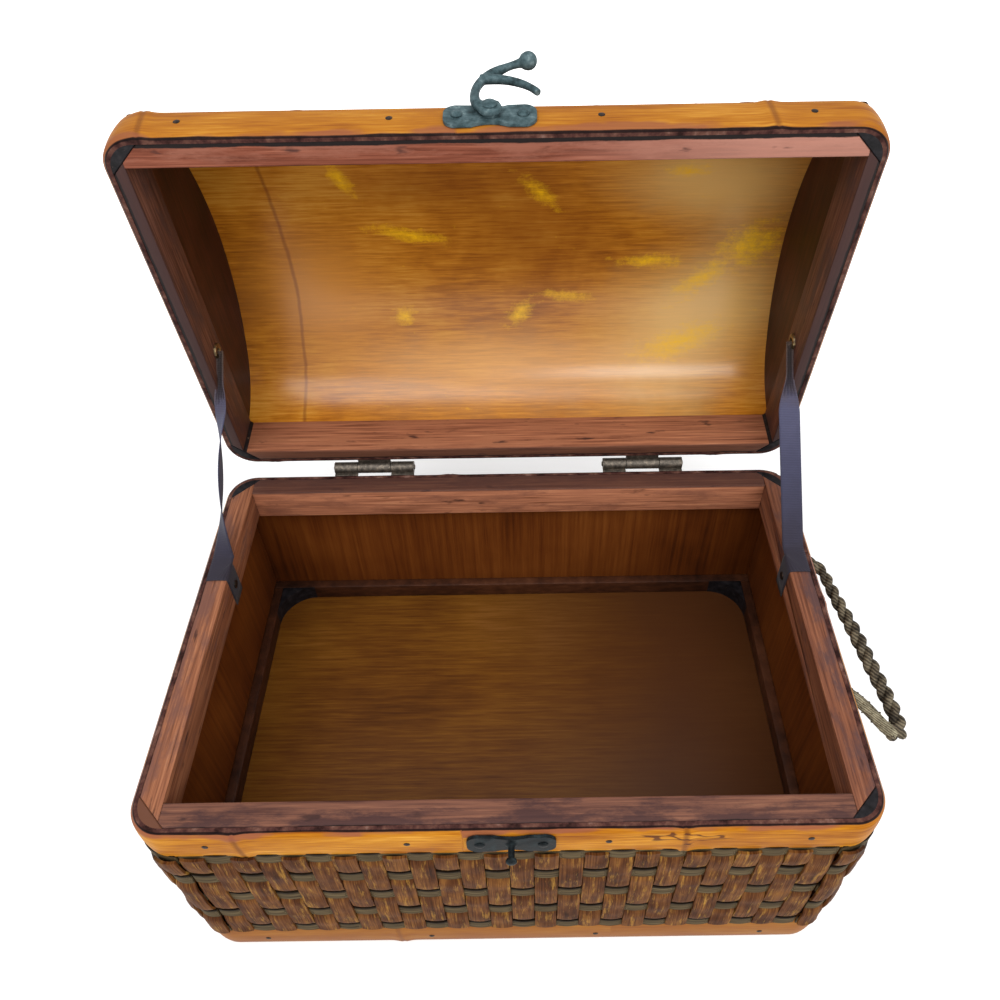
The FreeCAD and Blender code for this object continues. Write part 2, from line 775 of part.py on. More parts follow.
def build_hook():
    claw_radius = claw_inner_radius + hook_claw_width / 2
    angles = (hook_claw_start_angle, (hook_claw_start_angle + hook_claw_end_angle) / 2, hook_claw_end_angle)
    claw_points = []
    for angle in angles:
        turn = math.radians(angle)
        claw_points.append(hook_point(claw_radius * math.cos(turn), claw_radius * math.sin(turn)))
    tip = math.radians(hook_claw_start_angle)
    knee = hook_point(hook_arm_knee_x, hook_arm_knee_v)
    ball_centre = hook_point(hook_ball_x, hook_ball_v) - vec(0, hook_thickness / 2 + hook_ball_lift, 0)
    arm_low = hook_point(-hook_arm_left, hook_arm_foot)
    arm_mid = hook_point(-hook_arm_bulge, hook_arm_knee_v / 2)
    neck = hook_point(hook_neck_x, hook_neck_v)
    ball_foot = hook_point(hook_ball_x, hook_ball_v)
    pieces = [
        stroke([arm_low, arm_mid, knee], hook_arm_width),
        stroke([knee, neck, ball_foot], hook_arm_width),
        stroke(claw_points, hook_claw_width),
        boss(claw_radius * math.cos(tip), claw_radius * math.sin(tip), hook_claw_width / 2),
        boss(hook_arm_knee_x, hook_arm_knee_v, hook_arm_width / 2),
        boss(-hook_arm_left, hook_arm_foot, hook_arm_width / 2),
        Part.makeSphere(hook_ball_radius, ball_centre),
    ]
    hook = boss(0, 0, hook_disc_radius)
    for piece in pieces:
        hook = hook.fuse(piece)
    axis_start = hook_point(0, 0) + vec(0, overrun, 0)
    axis_end = hook_point(0, 0) - vec(0, hook_thickness + overrun, 0)
    hook = hook.cut(rod(rivet_radius + running_clearance, axis_start, axis_end))
    save("clasp_hook", opened(hook.removeSplitter()))


# Rope handles on wire staples
def staple(side, y):
    """U of wire: two legs into the wall and a bar outside, which the rope's eye turns on."""
    half = staple_width / 2
    bar_x = side * handle_bar_x
    root_x = side * (mat_x - staple_depth)
    bar_ends = [vec(bar_x, y - half, handle_height), vec(bar_x, y + half, handle_height)]
    solid = rod(staple_radius, bar_ends[0], bar_ends[1])
    for end in bar_ends:
        solid = solid.fuse(rod(staple_radius, vec(root_x, end.y, handle_height), end))
        solid = solid.fuse(Part.makeSphere(staple_radius, end))
    return solid.removeSplitter()


def staples():
    return [staple(side, y) for side in (-1, 1) for y in (rope_back_y, rope_front_y)]


def rope_path(points):
    """Straight runs joined by tangent arcs, each arc as large as its runs allow."""
    edges = []
    start = points[0]
    for before, corner, after in zip(points, points[1:], points[2:]):
        into = (corner - before)
        out = (after - corner)
        cut = min(into.Length, out.Length) * rope_fillet_share
        turn = into.getAngle(out)
        arc_start = corner - into.normalize() * cut
        arc_end = corner + out.normalize() * cut
        radius = cut / math.tan(turn / 2)
        bisector = (out - into).normalize()
        centre = corner + bisector * math.hypot(radius, cut)
        arc_middle = centre - bisector * radius
        edges.append(Part.LineSegment(start, arc_start).toShape())
        edges.append(Part.Arc(arc_start, arc_middle, arc_end).toShape())
        print("rope radius", round(radius, 1))
        start = arc_end
    edges.append(Part.LineSegment(start, points[-1]).toShape())
    return Part.Wire(edges)


def build_handle(name, side, tilt):
    """The rope lies in one plane through the staples' bars, tilted below the horizontal."""
    out_x = math.cos(math.radians(tilt))
    out_z = -math.sin(math.radians(tilt))
    points = []
    for reach_share, y_share in rope_route_shares:
        reach = rope_reach * reach_share
        y = rope_front_y + (rope_back_y - rope_front_y) * y_share
        points.append(vec(side * (handle_bar_x + reach * out_x), y, handle_height + reach * out_z))
    path = rope_path(points)
    section = Part.Wire(Part.makeCircle(rope_radius, points[0], points[1] - points[0]))
    rope = path.makePipeShell([section], True, False)
    swept = math.pi * rope_radius ** 2 * path.Length
    print(name, "volume against section times length", rope.Volume / swept)
    half_eye = rope_eye_length / 2
    for y in (rope_back_y, rope_front_y):
        start = vec(side * handle_bar_x, y - half_eye, handle_height)
        end = vec(side * handle_bar_x, y + half_eye, handle_height)
        rope = rope.fuse(rod(rope_radius, start, end))
    for y in (rope_back_y, rope_front_y):
        start = vec(side * handle_bar_x, y - staple_width, handle_height)
        end = vec(side * handle_bar_x, y + staple_width, handle_height)
        rope = rope.cut(rod(staple_radius + running_clearance, start, end))
    save(name, rope.removeSplitter())


# Ribbon stays, pulled tight between the lid's side strips and the base's rim
def eyelet(side):
    """Flat metal ring on the inner face of the lid's side strip."""
    y = half_depth - eyelet_reach
    z = lid_floor + eyelet_height
    face = vec(side * lid_side_inner_x, y, z)
    inward = vec(-side, 0, 0)
    ring = rod(eyelet_radius, face, face + inward * eyelet_thickness)
    hole_end = face + inward * (eyelet_thickness + overrun)
    return ring.cut(rod(eyelet_hole_radius, face - inward * overrun, hole_end))


def ribbon(side):
    """Tail down the rim strip's inner face, a flat patch on the rim, then the tight stretch to the eyelet."""
    rim_face_x = rim_inner_x - ribbon_clearance
    tail_x = rim_face_x - ribbon_thickness
    under = base_height + ribbon_clearance
    top = under + ribbon_thickness
    fold_end_y = ribbon_fold_y + ribbon_fold_length
    low_x = half_width - ribbon_rim_inset
    high_x = lid_side_inner_x - eyelet_thickness - ribbon_clearance - ribbon_neck_width / 2
    tail_bottom = base_height - ribbon_tail_length
    tail = block(tail_x, rim_face_x, ribbon_fold_y, ribbon_fold_y + ribbon_width, tail_bottom, top)
    patch = block(tail_x, low_x + ribbon_width / 2, ribbon_fold_y, fold_end_y, under, top)

    eyelet_centre = vec(0, half_depth - eyelet_reach, lid_floor + eyelet_height)
    upper_end = opened(Part.Vertex(eyelet_centre)).Point
    lower_end = vec(0, fold_end_y - ribbon_thickness, under)
    along = upper_end - lower_end

    def edge_point(share, width, edge):
        centre_x = low_x + (high_x - low_x) * share
        return lower_end + along * share + vec(centre_x + edge * width / 2, 0, 0)

    stations = [
        (0, ribbon_width),
        (ribbon_neck_start_share, ribbon_width),
        (ribbon_neck_end_share, ribbon_neck_width),
        (1, ribbon_neck_width),
    ]
    right_edge = [edge_point(share, width, 1) for share, width in stations]
    left_edge = [edge_point(share, width, -1) for share, width in reversed(stations)]
    outline = right_edge + left_edge
    face = Part.Face(Part.makePolygon(outline + [outline[0]]))
    normal = vec(0, -along.z, along.y).normalize()
    stretch = face.extrude(normal * ribbon_thickness)
    solid = stretch.fuse(patch).fuse(tail).removeSplitter()
    return solid if side > 0 else mirrored_x(solid)


def tack(side):
    """Round-headed tack through the ribbon's tail into the rim strip."""
    y = ribbon_fold_y + ribbon_width / 2
    face_x = rim_inner_x - ribbon_clearance - ribbon_thickness
    inward = vec(-side, 0, 0)
    point = vec(side * face_x, y, base_height - tack_drop)
    return headed(point, inward, tack_head_radius, tack_head_height, tack_radius, tack_length)


def build_stays(tacks):
    for name, side in (("ribbon_left", -1), ("ribbon_right", 1)):
        save(name, drilled(ribbon(side), tacks))
    save("ribbon_tacks", group(tacks))
    save("ribbon_eyelets", opened(group([eyelet(-1), eyelet(1)])))


def build_chest():
    os.makedirs("parts", exist_ok=True)
    base_hardware_nails = plate_nails(catch_plate_x, catch_z) + hinge_nails(hinge_z - hinge_nail_drop)
    lid_hardware_nails = plate_nails(hook_plate_x, hook_v) + hinge_nails(hinge_z + hinge_nail_drop)
    base_bands = base_band_nails()
    lid_bands = lid_band_nails()
    wires = staples()
    tacks = [tack(-1), tack(1)]
    base_nails = base_hardware_nails + base_bands + wires + tacks
    lid_nails = lid_hardware_nails + lid_bands

    build_base_frame(base_nails)
    build_walls(base_nails)
    build_floor()
    build_base_mats(base_nails)
    build_base_bands(base_nails)
    build_dome()
    build_lid_frame(lid_nails)
    build_hinges(base_nails, lid_nails)
    build_clasp(base_nails, lid_nails)
    build_hook()
    build_handle("handle_right", 1, handle_tilt)
    build_handle("handle_left", -1, handle_hang_tilt)
    build_stays(tacks)
    save("base_hardware_nails", group(base_hardware_nails))
    save("lid_hardware_nails", opened(group(lid_hardware_nails)))
    save("base_band_nails", group(base_bands))
    save("lid_band_nails", opened(group(lid_bands)))
    save("handle_staples", group(wires))


build_chest()
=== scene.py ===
import bpy
import bmesh
import math
from mathutils import Matrix, Vector


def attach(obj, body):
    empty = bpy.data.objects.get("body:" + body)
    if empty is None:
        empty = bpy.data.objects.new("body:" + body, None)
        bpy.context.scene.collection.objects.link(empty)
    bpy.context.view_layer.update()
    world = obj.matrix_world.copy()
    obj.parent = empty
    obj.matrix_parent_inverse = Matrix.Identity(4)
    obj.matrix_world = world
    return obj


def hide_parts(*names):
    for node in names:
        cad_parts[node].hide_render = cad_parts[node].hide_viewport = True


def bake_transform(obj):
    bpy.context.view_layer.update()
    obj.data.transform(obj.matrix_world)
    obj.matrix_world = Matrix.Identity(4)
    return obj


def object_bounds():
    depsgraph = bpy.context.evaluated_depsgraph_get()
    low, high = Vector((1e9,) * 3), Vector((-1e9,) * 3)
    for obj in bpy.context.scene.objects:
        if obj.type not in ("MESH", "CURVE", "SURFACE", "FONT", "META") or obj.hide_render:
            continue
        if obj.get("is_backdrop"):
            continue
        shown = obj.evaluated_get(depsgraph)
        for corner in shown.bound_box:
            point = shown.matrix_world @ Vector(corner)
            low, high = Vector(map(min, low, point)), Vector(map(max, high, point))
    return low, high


# Rattan chest with a domed lid, standing open. Metres, +Z up, front towards -Y, as in the frame.
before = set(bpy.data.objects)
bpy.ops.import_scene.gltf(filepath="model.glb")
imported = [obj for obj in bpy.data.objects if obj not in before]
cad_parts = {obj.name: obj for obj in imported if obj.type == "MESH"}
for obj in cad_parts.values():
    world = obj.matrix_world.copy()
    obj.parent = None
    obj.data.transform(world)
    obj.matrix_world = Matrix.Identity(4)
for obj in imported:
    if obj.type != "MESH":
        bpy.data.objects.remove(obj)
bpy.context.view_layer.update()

# Floor and its frame: four plain strips stand on the ground and carry a thin ply floor, with a
# batten under its middle and a low strip of softwood round it. The ring's corners are round blocks
# painted black. They are seen from above, deep in the box, and from below.
half_width = 0.140
half_depth = 0.0905
base_height = 0.1256
band_thickness = 0.0034
shell_x = half_width - band_thickness
shell_y = half_depth - band_thickness


def linear(code):
    """The linear colour of an sRGB hex value."""
    parts = [int(code[place:place + 2], 16) / 255 for place in (1, 3, 5)]
    return [part / 12.92 if part <= 0.04045 else ((part + 0.055) / 1.055) ** 2.4 for part in parts] + [1.0]


def add(tree, kind, links=None, stops=None, **settings):
    """Add a node with its settings. links gives its inputs a value, a socket or a node's first output."""
    made = tree.nodes.new(kind)
    for setting, value in settings.items():
        setattr(made, setting, value)
    for place, value in (links or {}).items():
        if isinstance(value, bpy.types.Node):
            value = value.outputs[0]
        if isinstance(value, bpy.types.NodeSocket):
            tree.links.new(value, made.inputs[place])
        else:
            made.inputs[place].default_value = value
    if stops:
        elements = made.color_ramp.elements
        for element, (position, code) in zip(elements, (stops[0], stops[-1])):
            element.position = position
            element.color = linear(code)
        for position, code in stops[1:-1]:
            elements.new(position).color = linear(code)
    return made


def new_finish(name, **surface):
    """A material with one shader, whose plain values are given."""
    made = bpy.data.materials.new(name)
    made.use_nodes = True
    tree = made.node_tree
    shader = tree.nodes["Principled BSDF"]
    for title, value in surface.items():
        shader.inputs[title.replace("_", " ")].default_value = value
    return made, tree, shader


def drawn_out(tree, spot, scale, detail, roughness=0.5):
    """Noise drawn out like fibres: scale gives how many of them a metre has along x, y and z."""
    lines = add(tree, "ShaderNodeMapping", {"Vector": spot, "Scale": scale})
    return add(tree, "ShaderNodeTexNoise",
               {"Vector": lines, "Scale": 1.0, "Detail": detail, "Roughness": roughness})


def stained(tree, first, second, stops):
    """The tones that the mean of two patterns picks."""
    both = add(tree, "ShaderNodeMath", {0: first, 1: second}, operation="ADD")
    depth = add(tree, "ShaderNodeMath", {0: both, 1: 0.5}, operation="MULTIPLY")
    return add(tree, "ShaderNodeValToRGB", {0: depth}, stops=stops)


def dress(tree, shader, colour, *reliefs):
    """Give the shader its colour and its reliefs: each is a pattern, a strength and a depth in metres."""
    tree.links.new(colour, shader.inputs["Base Color"])
    surface = None
    for pattern, strength, depth in reliefs:
        inputs = {"Height": pattern, "Strength": strength, "Distance": depth}
        if surface:
            inputs["Normal"] = surface
        surface = add(tree, "ShaderNodeBump", inputs)
    if surface:
        tree.links.new(surface.outputs[0], shader.inputs["Normal"])


def plain_ply(name, fibres, tones, gloss, shade=None):
    """Stained birch ply: fibres gives how many grain lines a metre has along x, y and z.

    shade is a painted shade colour, mixed in more and more towards the right-hand side.
    """
    made, tree, shader = new_finish(name, Roughness=gloss, Specular_IOR_Level=0.15)
    spot = add(tree, "ShaderNodeTexCoord").outputs["Object"]
    grain = drawn_out(tree, spot, fibres, 5.0, 0.65)
    cloud = add(tree, "ShaderNodeTexNoise", {"Vector": spot, "Scale": 15.0, "Detail": 3.0})
    dye = stained(tree, cloud, grain, list(zip((0.34, 0.46, 0.56, 0.68), tones)))
    colour = dye.outputs[0]
    if shade:
        # Painted shade: darker and darker towards the right-hand side.
        axes = add(tree, "ShaderNodeSeparateXYZ", {0: spot})
        edge = add(tree, "ShaderNodeMath", {0: cloud, 1: 0.09, 2: axes.outputs[0]}, operation="MULTIPLY_ADD")
        painted_shade_share = add(tree, "ShaderNodeMapRange", {0: edge, 1: 0.03, 2: 0.125, 4: 0.9})
        colour = add(tree, "ShaderNodeMix", {0: painted_shade_share, 6: dye, 7: linear(shade)}, data_type="RGBA").outputs[2]
    dress(tree, shader, colour, (grain, 0.25, 0.0002))
    return made


# Birch ply, brushed with brown stain: grain lines 1 to 2 mm apart, gone almost black on the right with
# painted shade from the right-hand wall.
floor_ply = plain_ply("stained_floor_ply", (40, 850, 850), ("#4A280B", "#603810", "#704614", "#845624"), 0.45,
                      "#482814")
wall_ply = plain_ply("stained_wall_ply", (520, 520, 14), ("#3E1B08", "#5C2C0D", "#6C3812", "#7E461A"), 0.5)
# Softwood strips under and round the floor, painted with the same stain until nearly black.
frame_wood = plain_ply("dark_frame_wood", (160, 160, 500), ("#1E0D06", "#331A0E", "#432414", "#54311E"), 0.55)


def black_paint(name):
    """Brushed black enamel on softwood: it hides the grain, and chips show pale wood."""
    made, tree, shader = new_finish(name, Roughness=0.4, Specular_IOR_Level=0.12)
    spot = add(tree, "ShaderNodeTexCoord").outputs["Object"]
    strokes = add(tree, "ShaderNodeTexNoise", {"Vector": spot, "Scale": 420.0, "Detail": 4.0})
    chips = add(tree, "ShaderNodeTexNoise", {"Vector": spot, "Scale": 190.0, "Detail": 6.0, "Roughness": 0.7})
    coat = add(tree, "ShaderNodeValToRGB", {0: strokes},
               stops=[(0.3, "#0B0A0B"), (0.55, "#1B191C"), (0.8, "#2E2A2B")])
    bare = add(tree, "ShaderNodeMapRange", {0: chips, 1: 0.69, 2: 0.71})
    paint = add(tree, "ShaderNodeMix", {0: bare, 6: coat, 7: linear("#8B6F5A")}, data_type="RGBA")
    # On the rim's front left corner most of the paint is gone, and the brown wood shows.
    gap = add(tree, "ShaderNodeVectorMath", {0: spot, 1: (-0.133, -0.083, 0.1256)}, operation="DISTANCE")
    gap = add(tree, "ShaderNodeMath", {0: chips, 1: 0.02, 2: gap.outputs["Value"]}, operation="MULTIPLY_ADD")
    gone = add(tree, "ShaderNodeMapRange", {0: gap, 1: 0.026, 2: 0.021, 4: 0.8})
    paint = add(tree, "ShaderNodeMix", {0: gone, 6: paint.outputs[2], 7: linear("#6E4634")}, data_type="RGBA")
    dress(tree, shader, paint.outputs[2], (strokes, 0.4, 0.0003))
    return made


painted_corner = black_paint("black_enamel_on_wood")


def show(name, mesh):
    piece = bpy.data.objects.new(name, mesh)
    bpy.context.scene.collection.objects.link(piece)
    return piece


def smooth(piece, degrees=35):
    piece.data.shade_smooth()
    piece.data.set_sharp_from_angle(angle=math.radians(degrees))
    return piece


def settle(piece, body, slot, *nodes):
    """The finished piece rides on its body and stands for its CAD nodes."""
    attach(piece, body)
    if nodes:
        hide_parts(*nodes)
    return piece


def mesh_of(shape, name):
    mesh = bpy.data.meshes.new(name)
    shape.to_mesh(mesh)
    shape.free()
    return mesh


def eased(node, body, slot, finish, ease=0.0005):
    """The node's own solid as joinery: flat faces merged and the long edges eased by sanding."""
    least_angle, least_length = 0.6, 0.004
    shape = bmesh.new()
    shape.from_mesh(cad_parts[node].data)
    bmesh.ops.remove_doubles(shape, verts=shape.verts, dist=1e-6)
    bmesh.ops.dissolve_limit(shape, angle_limit=math.radians(1), verts=shape.verts, edges=shape.edges)
    sharp = []
    for edge in shape.edges:
        if edge.is_manifold and edge.calc_face_angle(0) > least_angle and edge.calc_length() > least_length:
            sharp.append(edge)
    bmesh.ops.bevel(shape, geom=sharp, offset=ease, segments=2, profile=0.6, affect="EDGES")
    mesh = mesh_of(shape, node)
    mesh.materials.append(finish)
    return settle(smooth(show(node + "_piece", mesh)), body, slot, node)


for side in ("front", "back", "left", "right"):
    eased("foot_strip_" + side, "base", "frame_wood", frame_wood)
    eased("floor_ring_" + side, "base", "frame_wood", frame_wood)
    eased("wall_" + side, "base", "wall_ply", wall_ply, 0.0003)
eased("floor_batten", "base", "frame_wood", frame_wood)
eased("floor_panel", "base", "floor_ply", floor_ply, 0.0003)
eased("floor_ring_corners", "base", "painted_corner", painted_corner)
eased("corner_fillers", "base", "painted_corner", painted_corner, 0.0006)

# Rim: four square pine strips frame the mouth, stained reddish brown and rubbed back to salmon and
# purple grey where hands and the lid touch them. A black line of lacquer and glue follows the band.
open_angle = math.radians(83.6)
hinge_place = Vector((0, 0.0945, 0.1258))
lid_gap = 0.0004
lid_half_width = half_width - lid_gap
lid_shell_x = lid_half_width - band_thickness
lid_floor = base_height + lid_gap
opening = Matrix.Rotation(-open_angle, 4, "X")
opened_lid = Matrix.Translation(hinge_place) @ opening @ Matrix.Translation(-hinge_place)


def closed_spot(tree):
    """Coordinates on a lid piece as if the lid were closed."""
    back = hinge_place - opening.inverted() @ hinge_place
    spot = add(tree, "ShaderNodeTexCoord").outputs["Object"]
    closed = add(tree, "ShaderNodeMapping",
                 {"Vector": spot, "Location": back, "Rotation": (open_angle, 0, 0)})
    return closed.outputs[0]


def rim_wood(name, along, on_lid, tones, worn, line=0.0011, grime=0.0, faded=0.0):
    """Stained pine, grain lines about 1 mm apart and 40 mm long, worn in patches, black along the band.

    grime darkens the face that meets the other half of the chest, and faded pales the right-hand end.
    """
    made, tree, shader = new_finish(name, Roughness=0.5, Specular_IOR_Level=0.12)
    spot = closed_spot(tree) if on_lid else add(tree, "ShaderNodeTexCoord").outputs["Object"]
    fibres, rubs = [900, 900, 900], [120, 120, 120]
    fibres["xy".index(along)] = 26
    rubs["xy".index(along)] = 34
    grain = drawn_out(tree, spot, fibres, 5.0, 0.6)
    stain = add(tree, "ShaderNodeValToRGB", {0: grain}, stops=list(zip((0.3, 0.46, 0.6, 0.74), tones)))
    stretched = add(tree, "ShaderNodeMapping", {"Vector": spot, "Scale": rubs})
    rubbing = add(tree, "ShaderNodeTexNoise",
                  {"Vector": stretched, "Scale": 1.0, "Detail": 6.0, "Roughness": 0.7})
    # How near the band's inner face is: below zero on the strip, and zero at the band.
    axes = add(tree, "ShaderNodeSeparateXYZ", {0: spot})
    far_x = add(tree, "ShaderNodeMath", {0: axes.outputs[0]}, operation="ABSOLUTE")
    far_y = add(tree, "ShaderNodeMath", {0: axes.outputs[1]}, operation="ABSOLUTE")
    reach = lid_shell_x if on_lid else shell_x
    near_x = add(tree, "ShaderNodeMath", {0: far_x, 1: reach}, operation="SUBTRACT")
    near_y = add(tree, "ShaderNodeMath", {0: far_y, 1: shell_y}, operation="SUBTRACT")
    near = add(tree, "ShaderNodeMath", {0: near_x, 1: near_y}, operation="MAXIMUM")
    outer = add(tree, "ShaderNodeMapRange", {0: near, 1: -0.0075, 2: -0.0010, 3: -0.04, 4: 0.11})
    wear = add(tree, "ShaderNodeMath", {0: rubbing, 1: outer}, operation="ADD")
    rubbed = add(tree, "ShaderNodeMapRange", {0: wear, 1: 0.48, 2: 0.62, 4: 0.85})
    wood = add(tree, "ShaderNodeMix", {0: rubbed, 6: stain, 7: linear(worn)}, data_type="RGBA")
    pale = add(tree, "ShaderNodeMapRange", {0: axes.outputs[0], 1: 0.02, 2: 0.09, 4: faded})
    wood = add(tree, "ShaderNodeMix", {0: pale, 6: wood.outputs[2], 7: linear("#C48F7E")}, data_type="RGBA")
    knots = add(tree, "ShaderNodeTexNoise", {"Vector": stretched, "Scale": 2.3, "Detail": 3.0, "W": 4.0},
                noise_dimensions="4D")
    knot = add(tree, "ShaderNodeMapRange", {0: knots, 1: 0.64, 2: 0.72, 4: 0.8})
    wood = add(tree, "ShaderNodeMix", {0: knot, 6: wood.outputs[2], 7: linear("#33201F")}, data_type="RGBA")
    meeting = lid_floor if on_lid else base_height
    from_meeting = add(tree, "ShaderNodeMath", {0: axes.outputs[2], 1: meeting}, operation="SUBTRACT")
    from_meeting = add(tree, "ShaderNodeMath", {0: from_meeting}, operation="ABSOLUTE")
    on_top = add(tree, "ShaderNodeMapRange", {0: from_meeting, 1: 0.0010, 2: 0.0003, 4: grime})
    wood = add(tree, "ShaderNodeMix", {0: on_top, 6: wood.outputs[2], 7: linear("#3E2A28")}, data_type="RGBA")
    # The lacquer line: within about 1 mm of the band's inner face.
    wander = add(tree, "ShaderNodeMath", {0: rubbing, 1: 0.0022, 2: near}, operation="MULTIPLY_ADD")
    black = add(tree, "ShaderNodeMapRange", {0: wander, 1: 0.0009 - line, 2: 0.0013 - line})
    done = add(tree, "ShaderNodeMix", {0: black, 6: wood.outputs[2], 7: linear("#17100F")}, data_type="RGBA")
    dress(tree, shader, done.outputs[2], (rubbing, 0.35, 0.0006), (grain, 0.3, 0.0002))
    return made


red_brown = ("#5C3220", "#8C5840", "#A46A4C", "#BA8260")
front_tones = ("#4A2C24", "#6E483A", "#855844", "#9C6E54")
right_tones = ("#4E2C1E", "#744632", "#8A573E", "#A26E50")
left_tones = ("#52301E", "#84523A", "#9C6648", "#B07C5C")
back_tones = ("#74442C", "#A86C50", "#C07E5C", "#D09874")
for side, along, tones, worn, grime in (
    ("front", "x", front_tones, "#402A2A", 0.2), ("back", "x", back_tones, "#8A5844", 0.85),
    ("right", "y", right_tones, "#523C3C", 0.1), ("left", "y", left_tones, "#6E4A40", 0.0),
):
    pine = rim_wood(side + "_rim_pine", along, False, tones, worn, 0.0002, grime)
    eased("rim_strip_" + side, "base", "strip_wood", pine)


# Woven mats: rattan peel 9.5 mm wide stands upright, and narrower rows 20 mm apart tie it. Each
# upright dips under every second row, so it shows as flat bricks about 31 mm long, close together.
# The peel is brown with yellow scratches, and dust has turned the rows grey green; the hollows are grey green
# from dust and painted shade.
def new_maker(name, **sizes):
    """An empty geometry tree with a named input for each size."""
    tree = bpy.data.node_groups.new(name, "GeometryNodeTree")
    tree.interface.new_socket("Geometry", in_out="INPUT", socket_type="NodeSocketGeometry")
    tree.interface.new_socket("Geometry", in_out="OUTPUT", socket_type="NodeSocketGeometry")
    kinds = {bool: "NodeSocketBool", int: "NodeSocketInt", float: "NodeSocketFloat",
             tuple: "NodeSocketVector"}
    for title, value in sizes.items():
        socket = tree.interface.new_socket(title, in_out="INPUT", socket_type=kinds[type(value)])
        socket.default_value = value
    return tree, tree.nodes.new("NodeGroupInput").outputs, tree.nodes.new("NodeGroupOutput").inputs


def applied(piece):
    """The piece's mesh with its modifiers applied. The piece itself goes."""
    depsgraph = bpy.context.evaluated_depsgraph_get()
    mesh = bpy.data.meshes.new_from_object(
        piece.evaluated_get(depsgraph), preserve_all_data_layers=True, depsgraph=depsgraph)
    piece.modifiers.clear()
    bpy.data.objects.remove(piece)
    return mesh


def grown(name, guide, tree, **sizes):
    """Run a tree on a guide mesh, and return the result as one plain mesh object."""
    carrier = show(name + "_guide", guide)
    maker = carrier.modifiers.new("maker", "NODES")
    maker.node_group = tree
    for item in tree.interface.items_tree:
        if item.in_out == "INPUT" and item.name in sizes:
            maker[item.identifier] = sizes[item.name]
    return show(name, applied(carrier))


def lay_round(tree, flat, guide, along, up, out_by, aside):
    """Bend flat geometry round its guide: out_by is the way out of it and aside a further shift."""
    reached = add(tree, "GeometryNodeSampleCurve", {"Curves": guide, "Length": along}, mode="LENGTH")
    outward = add(tree, "ShaderNodeVectorMath",
                  {0: reached.outputs["Tangent"], 1: up}, operation="CROSS_PRODUCT")
    outward = add(tree, "ShaderNodeVectorMath", {0: outward}, operation="NORMALIZE")
    out_step = add(tree, "ShaderNodeVectorMath", {0: outward, "Scale": out_by}, operation="SCALE")
    landed = add(tree, "ShaderNodeVectorMath", {0: reached.outputs["Position"], 1: out_step}, operation="ADD")
    landed = add(tree, "ShaderNodeVectorMath", {0: landed, 1: aside}, operation="ADD")
    laid = add(tree, "GeometryNodeSetPosition", {"Geometry": flat, "Position": landed})
    return add(tree, "GeometryNodeRealizeInstances", {0: laid})


def line_mesh(points):
    mesh = bpy.data.meshes.new("guide")
    mesh.from_pydata(points, [(place, place + 1) for place in range(len(points) - 1)], [])
    return mesh


def length_of(points):
    return sum((Vector(after) - Vector(before)).length for before, after in zip(points, points[1:]))


def corner(centre, radius, start, end, steps=14):
    """Points of an upright corner, angles in degrees."""
    points = []
    for step in range(steps + 1):
        angle = math.radians(start + (end - start) * step / steps)
        points.append((centre[0] + radius * math.cos(angle), centre[1] + radius * math.sin(angle), 0))
    return points


rattan, tree, shader = new_finish("split_rattan_peel", Roughness=0.55, Specular_IOR_Level=0.03)
strip = add(tree, "ShaderNodeAttribute", attribute_name="weave").outputs["Vector"]
raised = add(tree, "ShaderNodeAttribute", attribute_name="raised").outputs["Fac"]
# Fibres 0.5 mm apart and 25 mm long; the third value tells the strips apart.
fibre = drawn_out(tree, strip, (1900, 42, 3.7), 4.0, 0.6)
cloud = drawn_out(tree, strip, (190, 60, 5.3), 3.0)
mixed = add(tree, "ShaderNodeMath", {0: fibre, 1: cloud}, operation="ADD")
depth = add(tree, "ShaderNodeMath", {0: mixed, 1: 0.5}, operation="MULTIPLY")
peel = add(tree, "ShaderNodeValToRGB", {0: depth},
           stops=[(0.32, "#2A150A"), (0.45, "#4C2A14"), (0.55, "#653E1F"), (0.7, "#8A5C2C")])
rub = drawn_out(tree, strip, (520, 62, 9.1), 6.0, 0.72)
scratch = add(tree, "ShaderNodeMapRange", {0: rub, 1: 0.54, 2: 0.74, 4: 0.8})
golden = add(tree, "ShaderNodeMix", {0: scratch, 6: peel, 7: linear("#C0903E")}, data_type="RGBA")
# Where an upright dips under a row it turns dark grey green: dust, plus painted shade where it dives behind
# the row.
low = add(tree, "ShaderNodeMapRange", {0: raised, 1: 0.25, 2: -0.75, 4: 0.75})
dust_and_painted_shade = add(tree, "ShaderNodeMix", {0: low, 6: golden.outputs[2], 7: linear("#3E3626")}, data_type="RGBA")
# The mats' top corners at the sides, under the rim's band, are darkened to near black: painted shade under
# the band.
spot = add(tree, "ShaderNodeTexCoord").outputs["Object"]
axes = add(tree, "ShaderNodeSeparateXYZ", {0: spot})
far_x = add(tree, "ShaderNodeMath", {0: axes.outputs[0]}, operation="ABSOLUTE")
at_side = add(tree, "ShaderNodeMapRange", {0: far_x, 1: 0.128, 2: 0.136, 4: 0.85})
corner_shade_noise = add(tree, "ShaderNodeTexNoise", {"Vector": spot, "Scale": 60.0, "Detail": 4.0})
height = add(tree, "ShaderNodeMath", {0: corner_shade_noise, 1: 0.04, 2: axes.outputs[2]}, operation="MULTIPLY_ADD")
corner_shade = add(tree, "ShaderNodeMapRange", {0: height, 1: 0.112, 2: 0.122})
on_base = add(tree, "ShaderNodeMath", {0: axes.outputs[2], 1: 0.115}, operation="LESS_THAN")
corner_shade = add(tree, "ShaderNodeMath", {0: corner_shade, 1: at_side}, operation="MULTIPLY")
corner_shade = add(tree, "ShaderNodeMath", {0: corner_shade, 1: on_base}, operation="MULTIPLY")
dust_and_painted_shade = add(tree, "ShaderNodeMix", {0: corner_shade, 6: dust_and_painted_shade.outputs[2], 7: linear("#201C1C")}, data_type="RGBA")
dress(tree, shader, dust_and_painted_shade.outputs[2], (mixed, 0.5, 0.0003))

